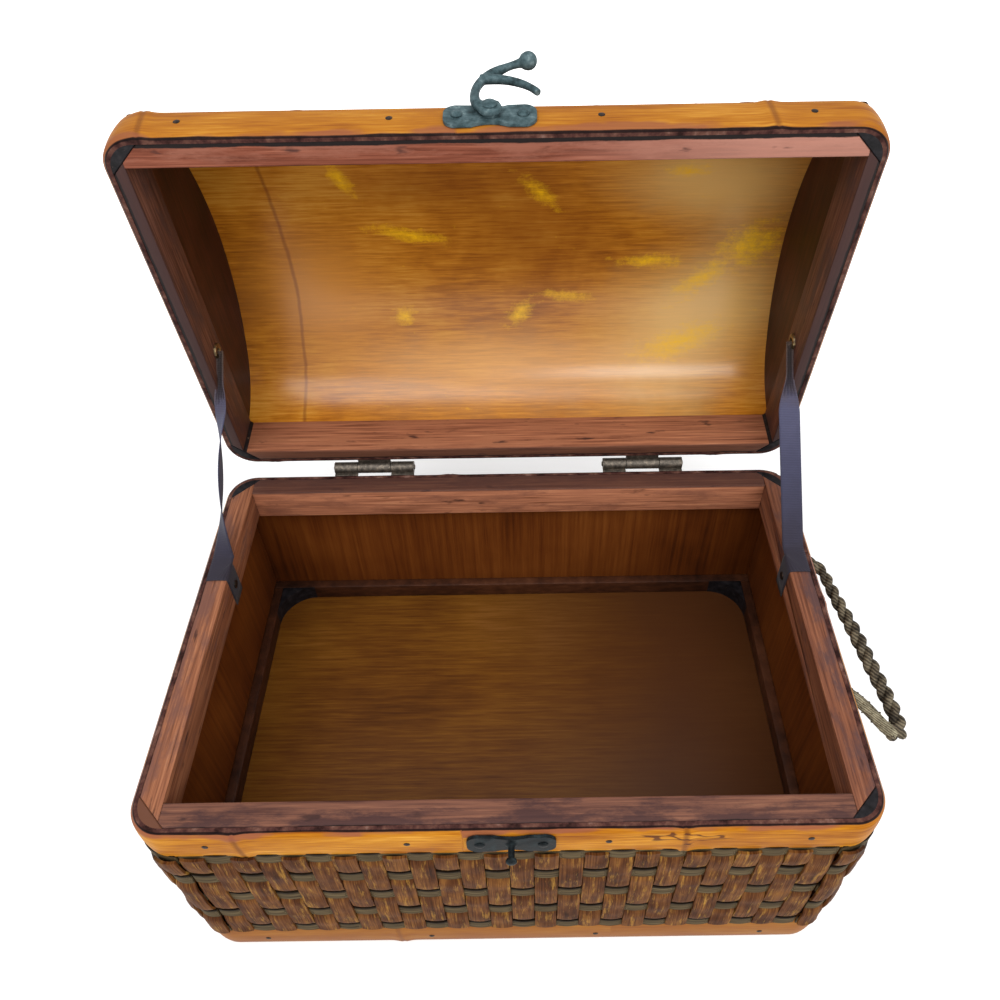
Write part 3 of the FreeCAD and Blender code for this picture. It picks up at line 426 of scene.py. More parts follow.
# The rows are thinner peel, brown black under the dust that lies on them.
rattan_row, tree, shader = new_finish("dusty_rattan_row", Roughness=0.65, Specular_IOR_Level=0.03)
strip = add(tree, "ShaderNodeAttribute", attribute_name="weave").outputs["Vector"]
fibre = drawn_out(tree, strip, (45, 1500, 3.7), 4.0)
dust = add(tree, "ShaderNodeValToRGB", {0: fibre},
           stops=[(0.3, "#31271A"), (0.45, "#4A3E2B"), (0.58, "#5D4F38"), (0.75, "#7A6C50")])
# Painted shadow along the upper edge, where the row comes out from under the upright.
across_row = add(tree, "ShaderNodeAttribute", attribute_name="across_row").outputs["Fac"]
upper_edge_shadow = add(tree, "ShaderNodeMapRange", {0: across_row, 1: 0.22, 2: 0.42, 4: 0.92})
lined = add(tree, "ShaderNodeMix", {0: upper_edge_shadow, 6: dust, 7: linear("#120C08")}, data_type="RGBA")
dress(tree, shader, lined.outputs[2], (fibre, 0.5, 0.0003))

weaver, size, result = new_maker(
    "woven_mat", strip_width=0.0095, strip_gap=0.0004, strip_thickness=0.0011, row_pitch=0.0198,
    row_width=0.0074, row_thickness=0.0008, bulge=0.0012, row_rise=0.0005, lift=-0.0017, dip=0.0046,
    across_from=0.0, across_to=0.1, low=0.0, high=0.1, first_row=0.0, along_guide=False,
    up=(0.0, 0.0, 1.0))
guide = add(weaver, "GeometryNodeMeshToCurve", {0: size["Geometry"]})
span = add(weaver, "ShaderNodeMath", {0: size["across_to"], 1: size["across_from"]}, operation="SUBTRACT")
share = add(weaver, "ShaderNodeMath", {0: span, 1: size["strip_width"]}, operation="DIVIDE")
count = add(weaver, "ShaderNodeMath", {0: share}, operation="ROUND")
pitch = add(weaver, "ShaderNodeMath", {0: span, 1: count}, operation="DIVIDE")
tall = add(weaver, "ShaderNodeMath", {0: size["high"], 1: size["low"]}, operation="SUBTRACT")
mid_high = add(weaver, "ShaderNodeMath", {0: tall, 1: 0.5, 2: size["low"]}, operation="MULTIPLY_ADD")
# Uprights: flat bars in a row, x across them, z along them and y out of the mat.
bar_width = add(weaver, "ShaderNodeMath", {0: pitch, 1: size["strip_gap"]}, operation="SUBTRACT")
bar_size = add(weaver, "ShaderNodeCombineXYZ", {0: bar_width, 1: size["strip_thickness"], 2: tall})
steps = add(weaver, "ShaderNodeMath", {0: tall, 1: 620.0}, operation="MULTIPLY")
bar = add(weaver, "GeometryNodeMeshCube",
          {"Size": bar_size, "Vertices X": 5, "Vertices Y": 2, "Vertices Z": steps})
first_x = add(weaver, "ShaderNodeMath", {0: pitch, 1: 0.5, 2: size["across_from"]}, operation="MULTIPLY_ADD")
first = add(weaver, "ShaderNodeCombineXYZ", {0: first_x, 2: mid_high})
step = add(weaver, "ShaderNodeCombineXYZ", {0: pitch})
bar_places = add(weaver, "GeometryNodeMeshLine", {"Count": count, "Start Location": first, "Offset": step})
bars = add(weaver, "GeometryNodeInstanceOnPoints", {"Points": bar_places, "Instance": bar})
bars = add(weaver, "GeometryNodeRealizeInstances", {0: bars})
# Rows: long flat bars, one above the other.
row_count = add(weaver, "ShaderNodeMath", {0: size["high"], 1: size["first_row"]}, operation="SUBTRACT")
row_count = add(weaver, "ShaderNodeMath", {0: row_count, 1: size["row_pitch"]}, operation="DIVIDE")
row_count = add(weaver, "ShaderNodeMath", {0: row_count}, operation="FLOOR")
row_count = add(weaver, "ShaderNodeMath", {0: row_count, 1: 1.0}, operation="ADD")
row_size = add(weaver, "ShaderNodeCombineXYZ", {0: span, 1: size["row_thickness"], 2: size["row_width"]})
row_steps = add(weaver, "ShaderNodeMath", {0: count, 1: 6.0, 2: 1.0}, operation="MULTIPLY_ADD")
row = add(weaver, "GeometryNodeMeshCube",
          {"Size": row_size, "Vertices X": row_steps, "Vertices Y": 2, "Vertices Z": 4})
mid_x = add(weaver, "ShaderNodeMath", {0: span, 1: 0.5, 2: size["across_from"]}, operation="MULTIPLY_ADD")
first = add(weaver, "ShaderNodeCombineXYZ", {0: mid_x, 2: size["first_row"]})
step = add(weaver, "ShaderNodeCombineXYZ", {2: size["row_pitch"]})
row_places = add(weaver, "GeometryNodeMeshLine",
                 {"Count": row_count, "Start Location": first, "Offset": step})
rows = add(weaver, "GeometryNodeInstanceOnPoints", {"Points": row_places, "Instance": row})
rows = add(weaver, "GeometryNodeRealizeInstances", {0: rows})
# Which strip and which row a point belongs to, and the wave that takes it over and under.
place = add(weaver, "GeometryNodeInputPosition")
axes = add(weaver, "ShaderNodeSeparateXYZ", {0: place})
from_edge = add(weaver, "ShaderNodeMath", {0: axes.outputs[0], 1: size["across_from"]}, operation="SUBTRACT")
in_strips = add(weaver, "ShaderNodeMath", {0: from_edge, 1: pitch}, operation="DIVIDE")
strip_number = add(weaver, "ShaderNodeMath", {0: in_strips}, operation="FLOOR")
off_centre = add(weaver, "ShaderNodeMath", {0: in_strips, 1: strip_number}, operation="SUBTRACT")
off_centre = add(weaver, "ShaderNodeMath", {0: off_centre, 1: 0.5}, operation="SUBTRACT")
above = add(weaver, "ShaderNodeMath", {0: axes.outputs[2], 1: size["first_row"]}, operation="SUBTRACT")
in_rows = add(weaver, "ShaderNodeMath", {0: above, 1: size["row_pitch"]}, operation="DIVIDE")
row_number = add(weaver, "ShaderNodeMath", {0: in_rows}, operation="ROUND")
# An upright is a long low hump between two short dips; a row rises and falls with each upright.
bar_phase = add(weaver, "ShaderNodeMath", {0: in_rows, 1: strip_number}, operation="ADD")
from_dip = add(weaver, "ShaderNodeMath", {0: bar_phase, 1: 2.0, 2: 0.0}, operation="WRAP")
from_dip = add(weaver, "ShaderNodeMath", {0: from_dip, 1: 1.0}, operation="SUBTRACT")
from_dip = add(weaver, "ShaderNodeMath", {0: from_dip}, operation="ABSOLUTE")
from_crest = add(weaver, "ShaderNodeMath", {0: 1.0, 1: from_dip}, operation="SUBTRACT")
sag = add(weaver, "ShaderNodeMath", {0: from_crest, 1: from_crest}, operation="MULTIPLY")
sag = add(weaver, "ShaderNodeMath", {0: sag, 1: -0.45, 2: 1.0}, operation="MULTIPLY_ADD")
steep = add(weaver, "ShaderNodeMath", {0: from_dip, 1: size["row_pitch"]}, operation="MULTIPLY")
steep = add(weaver, "ShaderNodeMath", {0: steep, 1: size["dip"]}, operation="DIVIDE")
steep = add(weaver, "ShaderNodeMath", {0: steep, 1: steep}, operation="MULTIPLY")
steep = add(weaver, "ShaderNodeMath", {0: steep, 1: -1.0}, operation="MULTIPLY")
steep = add(weaver, "ShaderNodeMath", {0: steep}, operation="EXPONENT")
bar_out = add(weaver, "ShaderNodeMath", {0: steep, 1: -1.75, 2: sag}, operation="MULTIPLY_ADD")
row_phase = add(weaver, "ShaderNodeMath", {0: in_strips, 1: row_number}, operation="ADD")
row_phase = add(weaver, "ShaderNodeMath", {0: row_phase, 1: 0.5}, operation="ADD")
row_turn = add(weaver, "ShaderNodeMath", {0: row_phase, 1: math.pi}, operation="MULTIPLY")
row_out = add(weaver, "ShaderNodeMath", {0: row_turn}, operation="COSINE")
crown = add(weaver, "ShaderNodeMath", {0: off_centre, 1: off_centre}, operation="MULTIPLY")
crown = add(weaver, "ShaderNodeMath", {0: crown, 1: -0.0022}, operation="MULTIPLY")
uneven = add(weaver, "ShaderNodeTexNoise", {"Vector": add(weaver, "ShaderNodeCombineXYZ", {
    0: strip_number, 1: in_rows}), "Scale": 1.7, "Detail": 1.0})
uneven = add(weaver, "ShaderNodeMath", {0: uneven, 1: 0.0016, 2: -0.0008}, operation="MULTIPLY_ADD")
bar_rise = add(weaver, "ShaderNodeMath", {0: bar_out, 1: size["bulge"], 2: crown}, operation="MULTIPLY_ADD")
bar_rise = add(weaver, "ShaderNodeMath", {0: bar_rise, 1: uneven}, operation="ADD")
bar_shift = add(weaver, "ShaderNodeCombineXYZ", {1: bar_rise})
row_rise = add(weaver, "ShaderNodeMath", {0: row_out, 1: size["row_rise"]}, operation="MULTIPLY")
row_shift = add(weaver, "ShaderNodeCombineXYZ", {1: row_rise})
tag = add(weaver, "ShaderNodeCombineXYZ", {0: axes.outputs[0], 1: axes.outputs[2], 2: strip_number})
# Where a point lies across its row: -0.5 at the lower edge, 0.5 at the upper one.
across_row = add(weaver, "ShaderNodeMath", {0: in_rows, 1: row_number}, operation="SUBTRACT")
across_row = add(weaver, "ShaderNodeMath", {0: across_row, 1: size["row_pitch"]}, operation="MULTIPLY")
across_row = add(weaver, "ShaderNodeMath", {0: across_row, 1: size["row_width"]}, operation="DIVIDE")
parts = []
for source, high_low, shift, is_row in ((bars, bar_out, bar_shift, False), (rows, row_out, row_shift, True)):
    marked = add(weaver, "GeometryNodeStoreNamedAttribute",
                 {"Geometry": source, "Name": "weave", "Value": tag}, data_type="FLOAT_VECTOR")
    for title, value in (("raised", high_low), ("across_row", across_row)):
        marked = add(weaver, "GeometryNodeStoreNamedAttribute",
                     {"Geometry": marked, "Name": title, "Value": value}, data_type="FLOAT")
    marked = add(weaver, "GeometryNodeStoreNamedAttribute",
                 {"Geometry": marked, "Name": "row", "Value": is_row}, data_type="BOOLEAN")
    parts.append(add(weaver, "GeometryNodeSetPosition", {"Geometry": marked, "Offset": shift}))
both = weaver.nodes.new("GeometryNodeJoinGeometry")
for part in parts:
    weaver.links.new(part.outputs[0], both.inputs[0])
# Lay the flat mat round its guide.
along = add(weaver, "GeometryNodeSwitch",
            {0: size["along_guide"], 1: axes.outputs[0], 2: axes.outputs[2]}, input_type="FLOAT")
aside = add(weaver, "GeometryNodeSwitch",
            {0: size["along_guide"], 1: axes.outputs[2], 2: axes.outputs[0]}, input_type="FLOAT")
out_by = add(weaver, "ShaderNodeMath", {0: axes.outputs[1], 1: size["lift"]}, operation="ADD")
side_step = add(weaver, "ShaderNodeVectorMath", {0: size["up"], "Scale": aside}, operation="SCALE")
laid = lay_round(weaver, both, guide, along, size["up"], out_by, side_step)
painted = add(weaver, "GeometryNodeSetMaterial", {"Geometry": laid, "Material": rattan})
is_row = add(weaver, "GeometryNodeInputNamedAttribute", {"Name": "row"}, data_type="BOOLEAN")
painted = add(weaver, "GeometryNodeSetMaterial",
              {"Geometry": painted, "Selection": is_row, "Material": rattan_row})
weaver.links.new(painted.outputs[0], result["Geometry"])

mat_bottom, mat_top = 0.0233, 0.1048
shell_radius = 0.0106
seam_x = 0.124
side_seam_x = seam_x + 0.0009
corner_x, corner_y = shell_x - shell_radius, shell_y - shell_radius
mat_thickness = 0.0042
mat_y = shell_y + mat_thickness
mat_radius = shell_radius + mat_thickness
guides = {
    "front": [(-seam_x, -mat_y, 0), (seam_x, -mat_y, 0)],
    "back": [(seam_x, mat_y, 0), (-seam_x, mat_y, 0)],
    "right": [(side_seam_x, -mat_y, 0), *corner((corner_x, -corner_y), mat_radius, -90, 0),
              *corner((corner_x, corner_y), mat_radius, 0, 90), (side_seam_x, mat_y, 0)],
}
guides["left"] = [(-x, -y, z) for x, y, z in guides["right"]]
for side, points in guides.items():
    # The uprights of the side mats stand out a little farther.
    bulge, lift = (0.0012, -0.0017) if side in ("front", "back") else (0.0017, -0.0013)
    mat = grown("woven_" + side, line_mesh(points), weaver, across_to=length_of(points), bulge=bulge,
                lift=lift, low=mat_bottom, high=mat_top, first_row=0.0250)
    settle(smooth(mat, 60), "base", "rattan_mat", "mat_" + side)

# Bamboo bands: split cane 3.4 mm thick, bent hot round the corners in two pieces that meet on the
# sides. The outer skin is honey brown and glossy, slightly crowned, with a ring where a node was and
# a few burn spots. The nails that hold it are driven flush and show as dark dots.
bamboo, tree, shader = new_finish("polished_bamboo_skin", Roughness=0.42, Specular_IOR_Level=0.03)
cane = add(tree, "ShaderNodeAttribute", attribute_name="cane").outputs["Vector"]
# Fibres 0.7 mm apart and some 80 mm long.
fibre = drawn_out(tree, cane, (12, 1400, 60), 5.0, 0.6)
cloud = drawn_out(tree, cane, (16, 130, 20), 3.0)
skin = stained(tree, fibre, cloud,
               [(0.34, "#84460A"), (0.45, "#A86614"), (0.55, "#BE7C1C"), (0.66, "#D89C3A")])
axes = add(tree, "ShaderNodeSeparateXYZ", {0: cane})
node_gap = add(tree, "ShaderNodeMath", {0: axes.outputs[2]}, operation="ABSOLUTE")
ring = add(tree, "ShaderNodeMapRange", {0: node_gap, 1: 0.0016, 2: 0.0004, 4: 0.65})
ringed = add(tree, "ShaderNodeMix", {0: ring, 6: skin, 7: linear("#6B3B14")}, data_type="RGBA")
burns = add(tree, "ShaderNodeTexVoronoi", {"Vector": add(tree, "ShaderNodeMapping", {
    "Vector": cane, "Scale": (24, 70, 0)}), "Scale": 1.0, "Randomness": 1.0})
chance = add(tree, "ShaderNodeSeparateColor", {0: burns.outputs["Color"]})
rare = add(tree, "ShaderNodeMath", {0: chance.outputs[0], 1: 0.8}, operation="GREATER_THAN")
burn = add(tree, "ShaderNodeMapRange", {0: burns.outputs["Distance"], 1: 0.13, 2: 0.04, 4: 0.9})
burn = add(tree, "ShaderNodeMath", {0: burn, 1: rare}, operation="MULTIPLY")
burnt = add(tree, "ShaderNodeMix", {0: burn, 6: ringed.outputs[2], 7: linear("#3A1E10")}, data_type="RGBA")
edge_gap = add(tree, "ShaderNodeMath", {0: axes.outputs[1]}, operation="ABSOLUTE")
edge_wave = add(tree, "ShaderNodeMath", {0: cloud, 1: 0.004, 2: edge_gap}, operation="MULTIPLY_ADD")
edge = add(tree, "ShaderNodeMapRange", {0: edge_wave, 1: 0.0103, 2: 0.0128, 4: 0.6})
edged = add(tree, "ShaderNodeMix", {0: edge, 6: burnt.outputs[2], 7: linear("#8A4A28")}, data_type="RGBA")
# Dye has run into the skin here and there along the painted edge.
from_paint = add(tree, "ShaderNodeAttribute", attribute_name="from_paint").outputs["Fac"]
runs = drawn_out(tree, cane, (34, 90, 8), 3.0)
reached = add(tree, "ShaderNodeMapRange", {0: from_paint, 1: 0.0075, 2: 0.0010, 3: -0.30, 4: 0.06})
runs = add(tree, "ShaderNodeMath", {0: runs, 1: reached}, operation="ADD")
dyed = add(tree, "ShaderNodeMapRange", {0: runs, 1: 0.49, 2: 0.60, 4: 0.75})
edged = add(tree, "ShaderNodeMix", {0: dyed, 6: edged.outputs[2], 7: linear("#8A5040")}, data_type="RGBA")
# The foot's cane is older and duller, and short curling burns sit on the rim's cane, right of the catch.
dull = add(tree, "ShaderNodeAttribute", attribute_name="dull").outputs["Fac"]
aged = add(tree, "ShaderNodeMix", {0: dull, 6: edged.outputs[2], 7: linear("#84522E")}, data_type="RGBA")
spot = add(tree, "ShaderNodeTexCoord").outputs["Object"]
squeezed = add(tree, "ShaderNodeMapping", {
    "Vector": spot, "Location": (0.062, -0.0905, 0.1180), "Scale": (0.022, 0.01, 0.0058)},
    vector_type="TEXTURE")
off_patch = add(tree, "ShaderNodeVectorMath", {0: squeezed}, operation="LENGTH")
in_patch = add(tree, "ShaderNodeMapRange", {0: off_patch.outputs["Value"], 1: 1.0, 2: 0.8})
curls = add(tree, "ShaderNodeTexNoise", {"Vector": squeezed, "Scale": 1.1, "Detail": 0.0, "Distortion": 1.3})
curl_gap = add(tree, "ShaderNodeMath", {0: curls, 1: 0.5}, operation="SUBTRACT")
curl_gap = add(tree, "ShaderNodeMath", {0: curl_gap}, operation="ABSOLUTE")
curl = add(tree, "ShaderNodeMapRange", {0: curl_gap, 1: 0.060, 2: 0.030, 4: 0.85})
curl = add(tree, "ShaderNodeMath", {0: curl, 1: in_patch}, operation="MULTIPLY")
edged = add(tree, "ShaderNodeMix", {0: curl, 6: aged.outputs[2], 7: linear("#4A1E10")}, data_type="RGBA")
ragged = add(tree, "ShaderNodeMath", {0: cloud, 1: -0.0016, 2: from_paint}, operation="MULTIPLY_ADD")
paint = add(tree, "ShaderNodeMapRange", {0: ragged, 1: -0.0001, 2: -0.0004})
worn_paint = add(tree, "ShaderNodeTexNoise",
                 {"Vector": spot, "Scale": 150.0, "Detail": 5.0, "Roughness": 0.65})
paint_tone = add(tree, "ShaderNodeValToRGB", {0: worn_paint},
                 stops=[(0.36, "#281816"), (0.48, "#4A2E2A"), (0.58, "#624238"), (0.72, "#86685E")])
lacquer = add(tree, "ShaderNodeMix", {0: paint, 6: edged.outputs[2], 7: paint_tone}, data_type="RGBA")
outward = add(tree, "ShaderNodeAttribute", attribute_name="outward").outputs["Fac"]
rim_line = add(tree, "ShaderNodeMapRange", {0: outward, 1: 0.82, 2: 0.95, 4: 0.9})
rim_line = add(tree, "ShaderNodeMath", {0: rim_line, 1: paint}, operation="MULTIPLY")
lacquer = add(tree, "ShaderNodeMix", {0: rim_line, 6: lacquer.outputs[2], 7: linear("#150E0E")},
              data_type="RGBA")
dress(tree, shader, lacquer.outputs[2], (fibre, 0.25, 0.0003))

bender, size, result = new_maker(
    "bamboo_band", height=0.0204, thickness=0.0034, crown=0.0007, first_node=0.1, node_spacing=0.16,
    swelling=0.0006, middle=0.115, length=0.4, painted_edge=0.0, dullness=0.0)
guide = add(bender, "GeometryNodeMeshToCurve", {0: size["Geometry"]})
bar_size = add(bender, "ShaderNodeCombineXYZ", {0: size["length"], 1: size["thickness"], 2: size["height"]})
steps = add(bender, "ShaderNodeMath", {0: size["length"], 1: 1000.0}, operation="MULTIPLY")
bar = add(bender, "GeometryNodeMeshCube",
          {"Size": bar_size, "Vertices X": steps, "Vertices Y": 3, "Vertices Z": 13})
place = add(bender, "GeometryNodeInputPosition")
axes = add(bender, "ShaderNodeSeparateXYZ", {0: place})
along = add(bender, "ShaderNodeMath", {0: size["length"], 1: 0.5, 2: axes.outputs[0]},
            operation="MULTIPLY_ADD")
up_share = add(bender, "ShaderNodeMath", {0: axes.outputs[2], 1: size["height"]}, operation="DIVIDE")
from_node = add(bender, "ShaderNodeMath", {0: along, 1: size["first_node"]}, operation="SUBTRACT")
half_spacing = add(bender, "ShaderNodeMath", {0: size["node_spacing"], 1: 0.5}, operation="MULTIPLY")
minus_half = add(bender, "ShaderNodeMath", {0: half_spacing, 1: -1.0}, operation="MULTIPLY")
from_node = add(bender, "ShaderNodeMath", {0: from_node, 1: half_spacing, 2: minus_half}, operation="WRAP")
slant = add(bender, "ShaderNodeMath", {0: up_share, 1: 0.0012, 2: from_node}, operation="MULTIPLY_ADD")
# A node is a low swelling with a fine groove in its middle.
humps = []
for width in (0.0032, 0.0006):
    ratio = add(bender, "ShaderNodeMath", {0: slant, 1: width}, operation="DIVIDE")
    squared = add(bender, "ShaderNodeMath", {0: ratio, 1: ratio}, operation="MULTIPLY")
    minus = add(bender, "ShaderNodeMath", {0: squared, 1: -1.0}, operation="MULTIPLY")
    humps.append(add(bender, "ShaderNodeMath", {0: minus}, operation="EXPONENT"))
groove = add(bender, "ShaderNodeMath", {0: humps[1], 1: -0.6, 2: humps[0]}, operation="MULTIPLY_ADD")
swell = add(bender, "ShaderNodeMath", {0: groove, 1: size["swelling"]}, operation="MULTIPLY")
outer = add(bender, "ShaderNodeMath", {0: axes.outputs[1], 1: size["thickness"]}, operation="DIVIDE")
outer = add(bender, "ShaderNodeMath", {0: outer, 1: 0.5}, operation="ADD")
up_square = add(bender, "ShaderNodeMath", {0: up_share, 1: up_share}, operation="MULTIPLY")
drop = add(bender, "ShaderNodeMath", {0: up_square, 1: -4.0}, operation="MULTIPLY")
drop = add(bender, "ShaderNodeMath", {0: drop, 1: size["crown"]}, operation="MULTIPLY")
edge_round = add(bender, "ShaderNodeMath", {0: up_square, 1: 4.0}, operation="MULTIPLY")
edge_round = add(bender, "ShaderNodeMath", {0: edge_round, 1: 12.0}, operation="POWER")
edge_round = add(bender, "ShaderNodeMath", {0: edge_round, 1: -0.0011}, operation="MULTIPLY")
face_shift = add(bender, "ShaderNodeMath", {0: drop, 1: edge_round}, operation="ADD")
face_shift = add(bender, "ShaderNodeMath", {0: face_shift, 1: swell}, operation="ADD")
face_shift = add(bender, "ShaderNodeMath", {0: face_shift, 1: outer}, operation="MULTIPLY")
taller = add(bender, "ShaderNodeMath", {0: humps[0], 1: 0.0012}, operation="MULTIPLY")
taller = add(bender, "ShaderNodeMath", {0: taller, 1: up_share}, operation="MULTIPLY")
waver = add(bender, "ShaderNodeTexNoise", {"Vector": place, "Scale": 14.0, "Detail": 1.0})
waver = add(bender, "ShaderNodeMath", {0: waver, 1: 0.0016, 2: -0.0008}, operation="MULTIPLY_ADD")
waver = add(bender, "ShaderNodeMath", {0: waver, 1: up_share}, operation="MULTIPLY")
up_by = add(bender, "ShaderNodeMath", {0: taller, 1: waver}, operation="ADD")
# The painted edge never passes its line, so the two halves of the chest meet without touching.
kept_back = add(bender, "ShaderNodeMath", {0: up_by, 1: size["painted_edge"]}, operation="MULTIPLY")
kept_back = add(bender, "ShaderNodeMath", {0: kept_back, 1: 0.0}, operation="MINIMUM")
kept_back = add(bender, "ShaderNodeMath", {0: kept_back, 1: size["painted_edge"]}, operation="MULTIPLY")
on_edge = add(bender, "ShaderNodeMath", {0: up_share, 1: size["painted_edge"]}, operation="MULTIPLY")
on_edge = add(bender, "ShaderNodeMath", {0: on_edge, 1: 0.0}, operation="GREATER_THAN")
up_by = add(bender, "GeometryNodeSwitch", {0: on_edge, 1: up_by, 2: kept_back}, input_type="FLOAT")
tag = add(bender, "ShaderNodeCombineXYZ", {0: along, 1: axes.outputs[2], 2: slant})
marked = add(bender, "GeometryNodeStoreNamedAttribute",
             {"Geometry": bar, "Name": "cane", "Value": tag}, data_type="FLOAT_VECTOR")
# The edge that meets the other half is black: 1 is the upper edge, -1 the lower one, 0 neither.
toward = add(bender, "ShaderNodeMath", {0: axes.outputs[2], 1: size["painted_edge"]}, operation="MULTIPLY")
from_edge = add(bender, "ShaderNodeMath", {0: size["height"], 1: 0.5}, operation="MULTIPLY")
from_edge = add(bender, "ShaderNodeMath", {0: from_edge, 1: toward}, operation="SUBTRACT")
marked = add(bender, "GeometryNodeStoreNamedAttribute",
             {"Geometry": marked, "Name": "from_paint", "Value": from_edge}, data_type="FLOAT")
for title, value in (("outward", outer), ("dull", size["dullness"])):
    marked = add(bender, "GeometryNodeStoreNamedAttribute",
                 {"Geometry": marked, "Name": title, "Value": value}, data_type="FLOAT")
half_thick = add(bender, "ShaderNodeMath", {0: size["thickness"], 1: 0.5, 2: axes.outputs[1]},
                 operation="MULTIPLY_ADD")
out_by = add(bender, "ShaderNodeMath", {0: half_thick, 1: face_shift}, operation="ADD")
high = add(bender, "ShaderNodeMath", {0: axes.outputs[2], 1: size["middle"]}, operation="ADD")
high = add(bender, "ShaderNodeMath", {0: high, 1: up_by}, operation="ADD")
up_step = add(bender, "ShaderNodeCombineXYZ", {2: high})
bent = lay_round(bender, marked, guide, along, (0, 0, 1), out_by, up_step)
bent = add(bender, "GeometryNodeSetMaterial", {"Geometry": bent, "Material": bamboo})
bender.links.new(bent.outputs[0], result["Geometry"])

joint_y, joint_gap = 0.035, 0.0004
top_band_height, top_band_middle = 0.0204, 0.1154
foot_band_height, foot_band_middle = 0.0221, 0.01185


def band_guides(inner_x):
    """Where the two canes lie: round the front and both sides, and round the back."""
    near_x = inner_x - shell_radius
    front_end, back_end = joint_y - joint_gap / 2, joint_y + joint_gap / 2
    front = [(-inner_x, front_end, 0), *corner((-near_x, -corner_y), shell_radius, 180, 270),
             *corner((near_x, -corner_y), shell_radius, -90, 0), (inner_x, front_end, 0)]
    back = [(inner_x, back_end, 0), *corner((near_x, corner_y), shell_radius, 0, 90),
            *corner((-near_x, corner_y), shell_radius, 90, 180), (-inner_x, back_end, 0)]
    return {"front": front, "back": back}


for side, points in band_guides(shell_x).items():
    node_place = 0.155 if side == "front" else 0.05
    top = grown("top_cane_" + side, line_mesh(points), bender, length=length_of(points),
                height=top_band_height, middle=top_band_middle, first_node=node_place, node_spacing=0.164,
                painted_edge=1.0)
    settle(smooth(top), "base", "bamboo_band", "top_band_" + side)
    bottom = grown("bottom_cane_" + side, line_mesh(points), bender, length=length_of(points),
                   height=foot_band_height, middle=foot_band_middle, first_node=node_place + 0.048,
                   node_spacing=0.19, crown=0.0012, dullness=0.7)
    settle(smooth(bottom), "base", "bamboo_band", "bottom_band_" + side)


def turned(name, profile, steps=20):
    """A lathe shape about z from (radius, height) pairs, from its foot to its top, closed at both ends."""
    shape = bmesh.new()
    rings = []
    for radius, height in profile:
        ring = []
        for step in range(steps):
            angle = 2 * math.pi * step / steps
            ring.append(shape.verts.new((radius * math.cos(angle), radius * math.sin(angle), height)))
        rings.append(ring)
    for below, over in zip(rings, rings[1:]):
        for step in range(steps):
            after = (step + 1) % steps
            shape.faces.new((below[step], below[after], over[after], over[step]))
    shape.faces.new(list(reversed(rings[0])))
    shape.faces.new(rings[-1])
    return mesh_of(shape, name)


# A tree that sets one small fitting on each point of its guide, turned to face out of the box.
fastener, size, result = new_maker("set_in_place", turn_about_z=1.0)
fastener.interface.new_socket("fitting", in_out="INPUT", socket_type="NodeSocketObject")
fastener.interface.new_socket("metal", in_out="INPUT", socket_type="NodeSocketMaterial")
size = fastener.nodes["Group Input"].outputs
shape = add(fastener, "GeometryNodeObjectInfo", {"Object": size["fitting"]})
facing = add(fastener, "GeometryNodeInputNamedAttribute", {"Name": "facing"}, data_type="FLOAT_VECTOR")
aimed = add(fastener, "FunctionNodeAlignRotationToVector", {"Vector": facing}, axis="Z")
spin = add(fastener, "FunctionNodeRandomValue", {"Min": 0.0, "Max": 6.28, "Seed": 3}, data_type="FLOAT")
turned_by = add(fastener, "ShaderNodeMath", {0: spin.outputs[1], 1: size["turn_about_z"]},
                operation="MULTIPLY")
own_turn = add(fastener, "FunctionNodeAxisAngleToRotation", {"Axis": (0, 0, 1), "Angle": turned_by})
aimed = add(fastener, "FunctionNodeRotateRotation", {0: aimed, 1: own_turn}, rotation_space="LOCAL")
placed = add(fastener, "GeometryNodeInstanceOnPoints",
             {"Points": size["Geometry"], "Instance": shape.outputs["Geometry"], "Rotation": aimed})
placed = add(fastener, "GeometryNodeRealizeInstances", {0: placed})
placed = add(fastener, "GeometryNodeSetMaterial", {"Geometry": placed, "Material": size["metal"]})
fastener.links.new(placed.outputs[0], result["Geometry"])


def set_out(name, profile, metal, places, body, slot, nodes, on_lid=False, steps=20):
    """One turned fitting at each (place, facing) pair."""
    pattern = show(name + "_pattern", turned(name + "_pattern", profile, steps))
    mesh = bpy.data.meshes.new(name)
    mesh.from_pydata([place for place, facing in places], [], [])
    facing = mesh.attributes.new("facing", "FLOAT_VECTOR", "POINT")
    for place, (point, way) in enumerate(places):
        facing.data[place].vector = way
    piece = grown(name, mesh, fastener, fitting=pattern, metal=metal)
    bpy.data.objects.remove(pattern)
    if on_lid:
        piece.data.transform(opened_lid)
    return settle(smooth(piece, 50), body, slot, *nodes)


def spotted_metal(name, fineness, stops, roughness, metallic, relief=None, **pattern):
    """Bare metal with spots of rust or tarnish: fineness gives how many of them a metre has."""
    made, tree, shader = new_finish(name, Roughness=roughness, Metallic=metallic)
    spot = add(tree, "ShaderNodeTexCoord").outputs["Object"]
    spots = add(tree, "ShaderNodeTexNoise", {"Vector": spot, "Scale": fineness, "Detail": 4.0, **pattern})
    tone = add(tree, "ShaderNodeValToRGB", {0: spots}, stops=stops)
    dress(tree, shader, tone.outputs[0], *([(spots, relief, 0.0002)] if relief else []))
    return made


# Iron wire nails, rusted dark: a dull brown black head that stands a hair above the cane.
nail_iron = spotted_metal("rusted_nail_iron", 1400.0,
                          [(0.35, "#15110F"), (0.55, "#2B211C"), (0.75, "#5A3A24")], 0.55, 0.7, 0.5)
flush_nail = [(0.0009, -0.009), (0.0009, -0.0002), (0.0012, -0.0001), (0.00125, 0.0001), (0.0008, 0.0003),
              (0.0002, 0.00035)]
row_shares = (-1, -1 / 3, 1 / 3, 1)
nail_reach = half_width - 0.029
top_nail_drop, foot_nail_height = 0.009, 0.011


